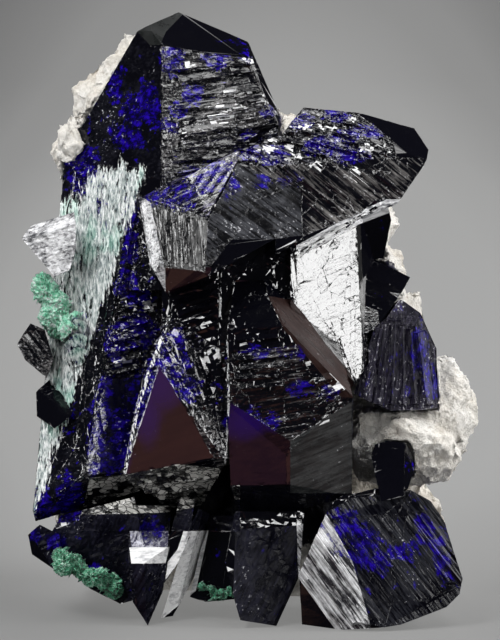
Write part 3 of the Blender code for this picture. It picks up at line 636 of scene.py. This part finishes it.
class Tree:
    """A material with a Principled shader, and short ways to add nodes to it."""

    def __init__(self, name):
        self.material = bpy.data.materials.new(name)
        self.material.use_nodes = True
        self.nodes = self.material.node_tree.nodes
        self.links = self.material.node_tree.links
        self.shader = self.nodes["Principled BSDF"]
        self.place = self.nodes.new("ShaderNodeTexCoord").outputs["Object"]

    def add(self, kind, **values):
        node = self.nodes.new(kind)
        for key, value in values.items():
            setattr(node, key, value)
        return node

    def link(self, source, target):
        self.links.new(source, target)

    def noise(self, scale, detail=4.0, stretch=(1.0, 1.0, 1.0), turn=0.0, rough=0.5, distortion=0.0):
        """Noise in object space, stretched along a line at the angle turn in the picture."""
        spin = self.add("ShaderNodeMapping")
        spin.inputs["Rotation"].default_value = (LEAN, math.radians(turn), 0.0)
        self.link(self.place, spin.inputs["Vector"])
        size = self.add("ShaderNodeMapping")
        size.inputs["Scale"].default_value = stretch
        self.link(spin.outputs["Vector"], size.inputs["Vector"])
        texture = self.add("ShaderNodeTexNoise")
        texture.inputs["Scale"].default_value = scale
        texture.inputs["Detail"].default_value = detail
        texture.inputs["Roughness"].default_value = rough
        texture.inputs["Distortion"].default_value = distortion
        self.link(size.outputs["Vector"], texture.inputs["Vector"])
        return texture.outputs["Fac"]

    def ramp(self, source, stops):
        """Turns a number into a colour, by stops of a position and a colour."""
        node = self.add("ShaderNodeValToRGB")
        elements = node.color_ramp.elements
        while len(elements) < len(stops):
            elements.new(0.5)
        for element, (position, colour) in zip(elements, stops):
            element.position = position
            element.color = (*colour, 1.0)
        self.link(source, node.inputs["Fac"])
        return node.outputs["Color"]

    def mix(self, factor, first, second):
        """Goes from the first colour to the second. Each is a constant or a socket."""
        node = self.add("ShaderNodeMix", data_type="RGBA")
        self.link(factor, node.inputs["Factor"])
        for source, target in ((first, node.inputs["A"]), (second, node.inputs["B"])):
            if isinstance(source, tuple):
                target.default_value = (*source, 1.0)
            else:
                self.link(source, target)
        return node.outputs["Result"]

    def range(self, source, low, high, to_low, to_high):
        node = self.add("ShaderNodeMapRange")
        node.inputs["From Min"].default_value = low
        node.inputs["From Max"].default_value = high
        node.inputs["To Min"].default_value = to_low
        node.inputs["To Max"].default_value = to_high
        self.link(source, node.inputs["Value"])
        return node.outputs["Result"]

    def plus(self, first, second, share, other):
        """share times the first number plus other times the second."""
        scaled = self.add("ShaderNodeMath", operation="MULTIPLY")
        self.link(first, scaled.inputs[0])
        scaled.inputs[1].default_value = share
        total = self.add("ShaderNodeMath", operation="MULTIPLY_ADD")
        self.link(second, total.inputs[0])
        total.inputs[1].default_value = other
        self.link(scaled.outputs[0], total.inputs[2])
        return total.outputs[0]

    def times(self, first, second):
        product = self.add("ShaderNodeMath", operation="MULTIPLY")
        self.link(first, product.inputs[0])
        self.link(second, product.inputs[1])
        return product.outputs[0]

    def attribute(self, name):
        """A number that the mesh holds at each corner."""
        node = self.add("ShaderNodeAttribute", attribute_name=name)
        return node.outputs["Fac"]

    def bump(self, source, strength, distance, below=None):
        """Relief in the light only, from a number, over the relief below it."""
        node = self.add("ShaderNodeBump")
        node.inputs["Strength"].default_value = strength
        node.inputs["Distance"].default_value = distance
        self.link(source, node.inputs["Height"])
        if below is not None:
            self.link(below, node.inputs["Normal"])
        return node.outputs["Normal"]

    def finish(self, colour, rough, normal, **constants):
        """Joins the colour, roughness and relief to the shader, and sets its constant values."""
        if isinstance(colour, tuple):
            self.shader.inputs["Base Color"].default_value = (*colour, 1.0)
        else:
            self.link(colour, self.shader.inputs["Base Color"])
        if isinstance(rough, float):
            self.shader.inputs["Roughness"].default_value = rough
        else:
            self.link(rough, self.shader.inputs["Roughness"])
        self.link(normal, self.shader.inputs["Normal"])
        for key, value in constants.items():
            self.shader.inputs[key.replace("_", " ")].default_value = value
        return self.material


AZURITE_IOR = 1.76
BLACK_BLUE = (0.002, 0.002, 0.004)
# The light grey of the sparks, which are painted glints.
PAINTED_SPARK = (0.72, 0.72, 0.76)
NAVY = [(0.38, (0.001, 0.0005, 0.01)), (0.51, (0.0035, 0.0005, 0.08)), (0.64, (0.016, 0.0025, 0.36))]


def azurite(name, turn, line, line_at, spark_at, blue_at, rough, lines, body=BLACK_BLUE, gloss=0.5):
    """Crystal: a dark body, light lines along the striations painted as reflections, sparks painted as glints, and blue
    where light gets in.
    """
    tree = Tree("azurite_" + name)
    colour, rough_map, normal = crystal_look(tree, turn, line, line_at, spark_at, blue_at, rough, lines, body)
    return tree.finish(colour, rough_map, normal, IOR=AZURITE_IOR, Specular_IOR_Level=gloss)


def crystal_look(tree, turn, line, line_at, spark_at, blue_at, rough, lines, body):
    """A crystal's colour, roughness and relief, with painted reflections and glints in the colour.

    turn is the striations' angle, lines their relief. Lines, sparks and blue show where noise passes their _at.
    """
    streaks = tree.noise(2700.0, 3.0, (0.07, 1.0, 1.0), turn, 0.6)
    bands = tree.noise(800.0, 3.0, (0.10, 1.0, 1.0), turn, 0.6)
    clouds = tree.noise(380.0, 4.0, (0.7, 1.0, 1.0), turn, 0.7)
    shadows = tree.noise(130.0, 5.0, (0.7, 1.0, 1.0), turn, 0.65)
    specks = tree.noise(2500.0, 3.0, (0.6, 1.0, 1.0), turn, 0.7)
    glow = tree.noise(1000.0, 4.0, (0.6, 1.0, 1.0), turn, 0.7)
    striae = tree.plus(streaks, bands, 0.6, 0.4)
    shine = tree.plus(tree.plus(striae, clouds, 0.75, 0.25), shadows, 0.72, 0.28)
    blue = tree.plus(tree.plus(clouds, glow, 0.6, 0.4), tree.attribute("blue"), 1.0, 0.25)
    navy = tree.ramp(glow, NAVY)
    # Painted reflections: light lines along the striations in the base colour, varied over broad areas by the shadows
    # noise.
    colour = tree.mix(tree.range(shine, line_at, line_at + 0.11, 0.0, 1.0), body, line)
    colour = tree.mix(tree.range(blue, blue_at, blue_at + 0.08, 0.0, 0.92), colour, navy)
    # Painted glints: sparks of light grey in the base colour.
    sparks = tree.plus(tree.plus(specks, striae, 0.65, 0.35), shadows, 0.75, 0.25)
    colour = tree.mix(tree.range(sparks, spark_at, spark_at + 0.05, 0.0, 0.9), colour, PAINTED_SPARK)
    rough_map = tree.range(clouds, 0.3, 0.7, rough * 0.6, rough * 1.5)
    normal = tree.bump(striae, lines, 0.00016)
    normal = tree.bump(specks, lines * 0.4, 0.0001, normal)
    return colour, rough_map, normal


def streaky():
    """Dark crystal under a pale, partly green coat of upright streaks, by the mesh's streak numbers. The coat is partly
    real and partly painted reflection of the lights on the striations.
    """
    tree = Tree("azurite_streaky")
    body, rough_map, normal = crystal_look(
        tree, 6.0, (0.014, 0.014, 0.02), 0.48, 0.59, 0.575, 0.07, 0.08, BLACK_BLUE
    )
    fine = tree.noise(2600.0, 4.0, (0.08, 1.0, 1.0), 97.0, 0.65)
    clumps = tree.noise(620.0, 4.0, (0.20, 1.0, 1.0), 97.0, 0.6, 0.3)
    tint = tree.noise(170.0, 4.0, (0.5, 1.0, 1.0), 97.0)
    amount = tree.plus(tree.plus(fine, clumps, 0.55, 0.45), tree.attribute("streak"), 1.0, 0.30)
    # Partly painted reflection: the near-white end of the coat stands for lights mirrored in the striations.
    pale = tree.ramp(fine, [(0.36, (0.10, 0.14, 0.15)), (0.48, (0.40, 0.46, 0.45)), (0.60, (0.93, 0.95, 0.94))])
    green = tree.ramp(fine, [(0.36, (0.05, 0.14, 0.12)), (0.48, (0.24, 0.46, 0.38)), (0.60, (0.76, 0.92, 0.85))])
    pale = tree.mix(tree.range(tint, 0.52, 0.60, 0.0, 0.85), pale, green)
    coat = tree.range(amount, 0.715, 0.755, 0.0, 1.0)
    colour = tree.mix(coat, body, pale)
    normal = tree.bump(tree.times(fine, coat), 0.6, 0.0002, normal)
    return tree.finish(colour, rough_map, normal, IOR=1.7)


def brown():
    """A smooth face whose brown tint is a painted brown reflection, turning to purple and blue where light gets in."""
    tree = Tree("azurite_brown")
    # Painted reflection: the brown tint of the body and the lines.
    colour, rough_map, normal = crystal_look(
        tree, 20.0, (0.016, 0.006, 0.008), 0.45, 0.63, 0.95, 0.08, 0.04, (0.008, 0.003, 0.006)
    )
    colour = tree.mix(tree.range(tree.attribute("blue"), 0.0, 1.0, 0.0, 0.9), colour, (0.015, 0.003, 0.085))
    return tree.finish(colour, rough_map, normal, IOR=AZURITE_IOR, Specular_IOR_Level=0.45)


def scaly():
    """Overlapping flakes with dark lines between them; each flake has its own tone, and the light flakes are painted
    glints.
    """
    tree = Tree("azurite_scales")
    spin = tree.add("ShaderNodeMapping")
    spin.inputs["Rotation"].default_value = (LEAN, math.radians(-24.0), 0.0)
    tree.link(tree.place, spin.inputs["Vector"])
    size = tree.add("ShaderNodeMapping")
    size.inputs["Scale"].default_value = (0.5, 1.0, 1.1)
    tree.link(spin.outputs["Vector"], size.inputs["Vector"])
    flakes = tree.add("ShaderNodeTexVoronoi")
    lines = tree.add("ShaderNodeTexVoronoi", feature="DISTANCE_TO_EDGE")
    for cells in (flakes, lines):
        cells.inputs["Scale"].default_value = 1150.0
        tree.link(size.outputs["Vector"], cells.inputs["Vector"])
    grain = tree.noise(2600.0, 3.0, (0.3, 1.0, 1.0), -14.0, 0.7)
    patches = tree.noise(170.0, 3.0)
    split = tree.add("ShaderNodeSeparateColor")
    tree.link(flakes.outputs["Color"], split.inputs["Color"])
    tone = tree.plus(tree.plus(split.outputs["Red"], patches, 0.35, 1.0), grain, 1.0, 0.5)
    # Painted glints: the light end of the ramp stands for flakes that mirror the lights.
    colour = tree.ramp(tone, [(0.78, (0.004, 0.004, 0.006)), (0.92, (0.10, 0.10, 0.095)), (1.0, (0.62, 0.61, 0.58))])
    colour = tree.mix(tree.range(lines.outputs["Distance"], 0.02, 0.09, 1.0, 0.0), colour, (0.004, 0.004, 0.004))
    normal = tree.bump(tone, 0.6, 0.0003)
    return tree.finish(colour, tree.range(grain, 0.3, 0.7, 0.1, 0.3), normal, IOR=AZURITE_IOR, Specular_IOR_Level=0.4)


def chalky():
    """Pale host rock, with painted shade where it lies among the crystals at the foot."""
    tree = Tree("host_rock_chalk")
    broad = tree.noise(90.0, 5.0, rough=0.6)
    fine = tree.noise(900.0, 6.0, rough=0.7)
    grains = tree.noise(3200.0, 3.0)
    colour = tree.ramp(broad, [(0.30, (0.60, 0.53, 0.44)), (0.46, (0.86, 0.82, 0.75)), (0.64, (0.95, 0.93, 0.89))])
    colour = tree.mix(tree.range(fine, 0.34, 0.46, 0.5, 0.0), colour, (0.45, 0.38, 0.30))
    colour = tree.mix(tree.range(grains, 0.62, 0.70, 0.0, 0.4), colour, (0.98, 0.96, 0.92))
    # Painted shade: near-black where the rock shows in the gaps among the crystals at the foot.
    foot_shade = tree.plus(tree.attribute("foot_shade"), fine, 1.0, 0.5)
    colour = tree.mix(tree.range(foot_shade, 0.70, 0.80, 0.0, 1.0), colour, (0.006, 0.006, 0.012))
    normal = tree.bump(fine, 0.9, 0.0008)
    normal = tree.bump(grains, 0.6, 0.0003, normal)
    return tree.finish(colour, 0.9, normal)


def velvet(name, stops):
    """Fine fibrous malachite; the lightest stops of its ramp are painted sparkle."""
    tree = Tree(name)
    fine = tree.noise(2100.0, 5.0, rough=0.7)
    broad = tree.noise(330.0, 5.0, rough=0.65)
    tone = tree.plus(fine, broad, 0.6, 0.4)
    colour = tree.ramp(tone, stops)
    normal = tree.bump(tone, 1.0, 0.0007)
    return tree.finish(colour, 0.85, normal, Sheen_Weight=0.4)


# The crystal looks, in the order of LOOKS. The pale, white and silver looks and the look of the prism's top are painted
# highlights: light base colours for lights that the faces mirror.
SHADES = [
    azurite("deep", 20.0, (0.010, 0.010, 0.014), 0.58, 0.67, 0.74, 0.07, 0.05, gloss=0.4),
    azurite("blue", 10.0, (0.05, 0.05, 0.07), 0.54, 0.575, 0.575, 0.10, 0.4, gloss=0.4),
    azurite("violet", 24.0, (0.20, 0.18, 0.30), 0.49, 0.57, 0.585, 0.12, 0.5),
    streaky(),
    azurite("haze", -35.0, (0.068, 0.070, 0.080), 0.47, 0.575, 0.68, 0.22, 0.5, (0.003, 0.003, 0.004), 0.3),
    azurite("satin", 8.0, (0.009, 0.0105, 0.0105), 0.45, 0.80, 0.90, 0.30, 0.1, (0.009, 0.010, 0.010), 0.2),
    # Painted highlights: light base colours for mirrored lights.
    azurite("pale", 10.0, (0.85, 0.85, 0.87), 0.44, 0.57, 0.72, 0.20, 0.5, (0.05, 0.052, 0.06)),
    azurite("white", 10.0, (0.95, 0.95, 0.95), 0.40, 0.57, 0.90, 0.25, 0.3, (0.35, 0.35, 0.37)),
    azurite("slate", 8.0, (0.18, 0.17, 0.17), 0.515, 0.575, 0.63, 0.13, 0.6),
    azurite("ridges", -40.0, (0.20, 0.19, 0.185), 0.50, 0.59, 0.70, 0.12, 0.7),
    azurite("end", 94.0, (0.13, 0.13, 0.13), 0.46, 0.60, 0.66, 0.13, 0.5, (0.004, 0.004, 0.005)),
    azurite("broken", -20.0, (0.20, 0.20, 0.24), 0.53, 0.555, 0.60, 0.10, 0.7),
    azurite("tablet", -52.0, (0.026, 0.027, 0.034), 0.47, 0.60, 0.60, 0.16, 0.25, gloss=0.1),
    # Painted highlight: light lines for mirrored lights.
    azurite("silver", -54.0, (0.90, 0.90, 0.92), 0.455, 0.58, 0.72, 0.16, 0.5, (0.02, 0.02, 0.024)),
    azurite("fan", 80.0, (0.045, 0.040, 0.065), 0.47, 0.56, 0.565, 0.40, 0.7, (0.004, 0.003, 0.010), 0.12),
    azurite("grey", 22.0, (0.055, 0.057, 0.058), 0.45, 0.61, 0.70, 0.25, 0.4, (0.018, 0.019, 0.020), 0.15),
    azurite("matt", 60.0, (0.014, 0.014, 0.026), 0.47, 0.60, 0.60, 0.30, 0.35, (0.002, 0.002, 0.005), 0.06),
    scaly(),
    azurite("wall", 22.0, (0.06, 0.06, 0.06), 0.54, 0.80, 0.90, 0.05, 0.22, (0.02, 0.02, 0.02)),
    brown(),
    azurite("umber", -48.0, (0.034, 0.018, 0.016), 0.46, 0.62, 0.70, 0.30, 0.3, (0.016, 0.008, 0.007), 0.06),
    # Painted highlight on the prism's top: lavender-white lines for the top light mirrored there.
    azurite("top_glare", 68.0, (0.80, 0.80, 0.90), 0.48, 0.58, 0.60, 0.18, 0.4, (0.02, 0.018, 0.06)),
    azurite("flank", 75.0, (0.05, 0.05, 0.07), 0.48, 0.60, 0.60, 0.30, 0.5, gloss=0.12),
]

finish_shell(dressed_cluster(), "azurite_crystals", "azurite_cluster")

# The crystals that stand alone: their look and their relief.
SINGLE = {
    "azurite_rounded_crystal": ("fan", relief(86, (1.4, 4.0), (5, 20), 1.0, 0.9)),
    "azurite_ledge_crystal": ("deep", relief(80, (4.0, 9.0), (10, 40), 0.25)),
    "azurite_left_tip": ("pale", relief(20, (2.0, 5.0), (4, 14), 0.8, 0.9)),
    "azurite_left_upper": ("slate", relief(-50, (3.0, 8.0), (6, 20), 0.5)),
    "azurite_left_lower": ("deep", relief(-60, (4.0, 9.0), (8, 30), 0.2)),
}
for number, (node, (look, shape)) in enumerate(SINGLE.items()):
    bm = picture_mesh(node)
    shell = Shell(bm)
    bm.free()
    for index, bucket in enumerate(grouped(shell, list(shell.loops))):
        for face in carve(shell, bucket, shape, 500 + number * 20 + index):
            shell.looks[face] = look
    finish_shell(shell, node + "_faces", node)


MOST_ROUNDS = 6
BEHIND = 0.25  # a corner whose normal's y is more than this faces away from the viewer
COARSER = 2.2  # edges may be this much longer there
FADE_START = 0.0004  # metres above the floor, below which a rough piece stays flat
FADE_HEIGHT = 0.001
OCTAVES = ((1.0, 0.45), (2.3, 0.27), (5.1, 0.18), (10.7, 0.1))  # how fine each layer of noise is, and its share


def roughened(node, name, material, longest, depth, size):
    """A rough piece: its mesh divided finely and pushed inwards by noise, with its foot left flat."""
    bm = picture_mesh(node)
    for _ in range(MOST_ROUNDS):
        edges = []
        for edge in bm.edges:
            behind = min(v.normal.y for v in edge.verts) > BEHIND
            if edge.calc_length() > longest * (COARSER if behind else 1.0):
                edges.append(edge)
        if not edges:
            break
        bmesh.ops.subdivide_edges(bm, edges=edges, cuts=1)
        bmesh.ops.triangulate(bm, faces=[f for f in bm.faces if len(f.verts) > 3])
        bm.normal_update()
    moves = []
    for vert in bm.verts:
        height = (TO_WORLD @ vert.co).z
        fade = min(1.0, max(0.0, (height - FADE_START) / FADE_HEIGHT))
        value = 0.0
        for octave, share in OCTAVES:
            value += share * abs(noise.noise(vert.co * octave / size)) * 1.6
        moves.append(-vert.normal * depth * value * fade)
    for vert, move in zip(bm.verts, moves):
        vert.co += move
    for face in bm.faces:
        face.smooth = True
    finish_piece(bm, name, node, [material])


CHALK = chalky()
# The lightest stop of each green is painted sparkle.
GREEN = velvet("malachite_velvet", [
    (0.41, (0.003, 0.020, 0.008)), (0.47, (0.02, 0.20, 0.095)), (0.53, (0.10, 0.52, 0.29)), (0.60, (0.68, 0.95, 0.80)),
])
PALE_GREEN = velvet("malachite_pale_velvet", [
    (0.38, (0.02, 0.16, 0.09)), (0.45, (0.16, 0.66, 0.40)), (0.52, (0.48, 0.92, 0.70)), (0.59, (0.95, 1.0, 0.98)),
])
roughened("host_rock", "host_rock_surface", CHALK, 4.2, 10.0, 18.0)
for node, skin in (("malachite_left", PALE_GREEN), ("malachite_lower_left", GREEN), ("malachite_foot", GREEN)):
    roughened(node, node + "_crust", skin, 1.4, 10.0, 3.6)


def towards(azimuth, elevation, distance):
    """A place seen from the specimen's middle. The azimuth goes from the viewer to the right."""
    a = math.radians(azimuth)
    e = math.radians(elevation)
    way = Vector((math.sin(a) * math.cos(e), -math.cos(a) * math.cos(e), math.sin(e)))
    return TO_WORLD @ (CENTRE + way * distance / PIXEL)


def aimed(name, data, azimuth, elevation, distance):
    """A lamp or card that faces the specimen and that the camera doesn't see."""
    obj = bpy.data.objects.new(name, data)
    bpy.context.scene.collection.objects.link(obj)
    obj.location = towards(azimuth, elevation, distance)
    aim = TO_WORLD @ CENTRE - obj.location
    obj.rotation_euler = aim.to_track_quat("-Z", "Y").to_euler()
    obj.visible_camera = False
    return obj


LAMP_DISTANCE = 0.7
CARD_DISTANCE = 0.6


def softbox(name, azimuth, elevation, width, height, radiance):
    """An area light. Its size is given as an angle, and its strength as what a mirror would show."""
    data = bpy.data.lights.new(name, "AREA")
    data.shape = "RECTANGLE"
    data.size = 2.0 * LAMP_DISTANCE * math.tan(math.radians(width / 2.0))
    data.size_y = 2.0 * LAMP_DISTANCE * math.tan(math.radians(height / 2.0))
    data.energy = radiance * math.pi * data.size * data.size_y
    aimed(name, data, azimuth, elevation, LAMP_DISTANCE)


def card(name, azimuth, elevation, width, height, colour):
    """A dim coloured card that only shows in reflections."""
    tree = Tree(name)
    output = tree.nodes["Material Output"]
    glow = tree.add("ShaderNodeEmission")
    soft = tree.noise(4.0, 2.0)
    tree.link(tree.mix(soft, colour, tuple(c * 0.8 for c in colour)), glow.inputs["Color"])
    tree.link(glow.outputs["Emission"], output.inputs["Surface"])
    bm = bmesh.new()
    w = CARD_DISTANCE * math.tan(math.radians(width / 2.0))
    h = CARD_DISTANCE * math.tan(math.radians(height / 2.0))
    corners = [bm.verts.new((x * w, y * h, 0.0)) for x, y in ((-1, -1), (1, -1), (1, 1), (-1, 1))]
    bm.faces.new(corners)
    mesh = bpy.data.meshes.new(name)
    bm.to_mesh(mesh)
    bm.free()
    mesh.materials.append(tree.material)
    obj = aimed(name, mesh, azimuth, elevation, CARD_DISTANCE)
    obj.visible_diffuse = False
    obj.visible_shadow = False
    obj.visible_transmission = False


# Each light: azimuth, elevation, width and height in degrees, and strength.
SOFTBOXES = {
    "key_right": (34.0, 8.0, 13.0, 13.0, 12.0),
    "key_fill": (84.0, 22.0, 26.0, 40.0, 8.5),
    "left_near": (-54.0, 3.0, 10.0, 18.0, 8.0),
    "left_rim": (-115.0, 5.0, 16.0, 30.0, 7.0),
    "left_high": (-70.0, 56.0, 26.0, 24.0, 6.0),
    "left_front": (-38.0, 40.0, 20.0, 20.0, 12.0),
    "top": (40.0, 68.0, 34.0, 26.0, 4.0),
    "right_rim": (128.0, 30.0, 20.0, 30.0, 3.0),
    "back": (180.0, 38.0, 50.0, 40.0, 1.6),
}
for name, values in SOFTBOXES.items():
    softbox(name, *values)
card("brown_front", 6.0, -22.0, 26.0, 14.0, (0.36, 0.17, 0.14))
card("purple_front", -20.0, -22.0, 20.0, 14.0, (0.15, 0.07, 0.11))
card("brown_left", -82.0, -37.0, 22.0, 14.0, (0.30, 0.16, 0.12))

# A pale seamless sweep under and behind the specimen that glows with a painted pool of light, brightest on the floor
# behind the specimen and darker to the sides and towards the top: its sizes in metres, and the greys that it gives off.
SWEEP_FRONT, SWEEP_FLAT, SWEEP_SIDE, SWEEP_TOP = -2.5, 0.45, 2.5, 3.0
SWEEP_RADIUS = 0.6
SWEEP_STEPS = 12
GREYS = [(0.38, 0.035), (0.46, 0.085), (0.50, 0.12), (0.54, 0.13), (0.62, 0.19), (0.69, 0.21)]
WARMTH = 0.985  # the greys' blue beside their red and green
tree = Tree("sweep_glow")
spot = tree.add("ShaderNodeMapping")
spot.inputs["Location"].default_value = (-0.04, -0.32, 0.0)
spot.inputs["Scale"].default_value = (7.2, 1.3, 0.0)
tree.link(tree.place, spot.inputs["Vector"])
fall = tree.add("ShaderNodeTexGradient", gradient_type="SPHERICAL")
tree.link(spot.outputs["Vector"], fall.inputs["Vector"])
tone = tree.ramp(fall.outputs["Fac"], [(place, (grey, grey, grey * WARMTH)) for place, grey in GREYS])
tree.finish((0.09, 0.09, 0.09), 0.9, tree.bump(tree.noise(900.0, 2.0), 0.05, 0.0002))
# The glow is a painted pool of light, and it also lights the specimen softly from below and behind.
tree.link(tone, tree.shader.inputs["Emission Color"])
tree.shader.inputs["Emission Strength"].default_value = 1.0
# The sweep shows on its front only, so that it doesn't hide the specimen from behind.
facing = tree.add("ShaderNodeNewGeometry")
clear = tree.add("ShaderNodeBsdfTransparent")
one_sided = tree.add("ShaderNodeMixShader")
tree.link(facing.outputs["Backfacing"], one_sided.inputs[0])
tree.link(tree.shader.outputs["BSDF"], one_sided.inputs[1])
tree.link(clear.outputs["BSDF"], one_sided.inputs[2])
tree.link(one_sided.outputs["Shader"], tree.nodes["Material Output"].inputs["Surface"])
bm = bmesh.new()
profile = [(SWEEP_FRONT, 0.0), (SWEEP_FLAT, 0.0)]
for k in range(1, SWEEP_STEPS + 1):
    turn = math.radians(90.0 * k / SWEEP_STEPS)
    profile.append((SWEEP_FLAT + SWEEP_RADIUS * math.sin(turn), SWEEP_RADIUS - SWEEP_RADIUS * math.cos(turn)))
profile.append((SWEEP_FLAT + SWEEP_RADIUS, SWEEP_TOP))
rows = [[bm.verts.new((x, y, z)) for x in (-SWEEP_SIDE, SWEEP_SIDE)] for y, z in profile]
for a, b in zip(rows, rows[1:]):
    bm.faces.new((a[0], a[1], b[1], b[0])).smooth = True
mesh = bpy.data.meshes.new("sweep")
bm.to_mesh(mesh)
bm.free()
mesh.materials.append(tree.material)
sweep = bpy.data.objects.new("sweep", mesh)
bpy.context.scene.collection.objects.link(sweep)
sweep.visible_glossy = False

world = bpy.data.worlds.new("studio")
bpy.context.scene.world = world
world.use_nodes = True
world.node_tree.nodes["Background"].inputs["Color"].default_value = (0.5, 0.5, 0.52, 1.0)
world.node_tree.nodes["Background"].inputs["Strength"].default_value = 0.03

CAMERA_DISTANCE = 1.5
LENS = 351.6  # millimetres for each metre of distance, so that the photograph's 640 rows fill the frame
camera_data = bpy.data.cameras.new("camera")
camera_data.sensor_width = 36.0
camera_data.lens = LENS * CAMERA_DISTANCE
camera = bpy.data.objects.new("camera", camera_data)
bpy.context.scene.collection.objects.link(camera)
camera.location = TO_WORLD @ (CENTRE - Vector((0.0, CAMERA_DISTANCE / PIXEL, 0.0)))
camera.rotation_euler = (math.pi / 2.0 - LEAN, 0.0, 0.0)
camera_data.clip_end = 20.0
bpy.context.scene.camera = camera
bpy.context.scene.view_settings.view_transform = "Standard"
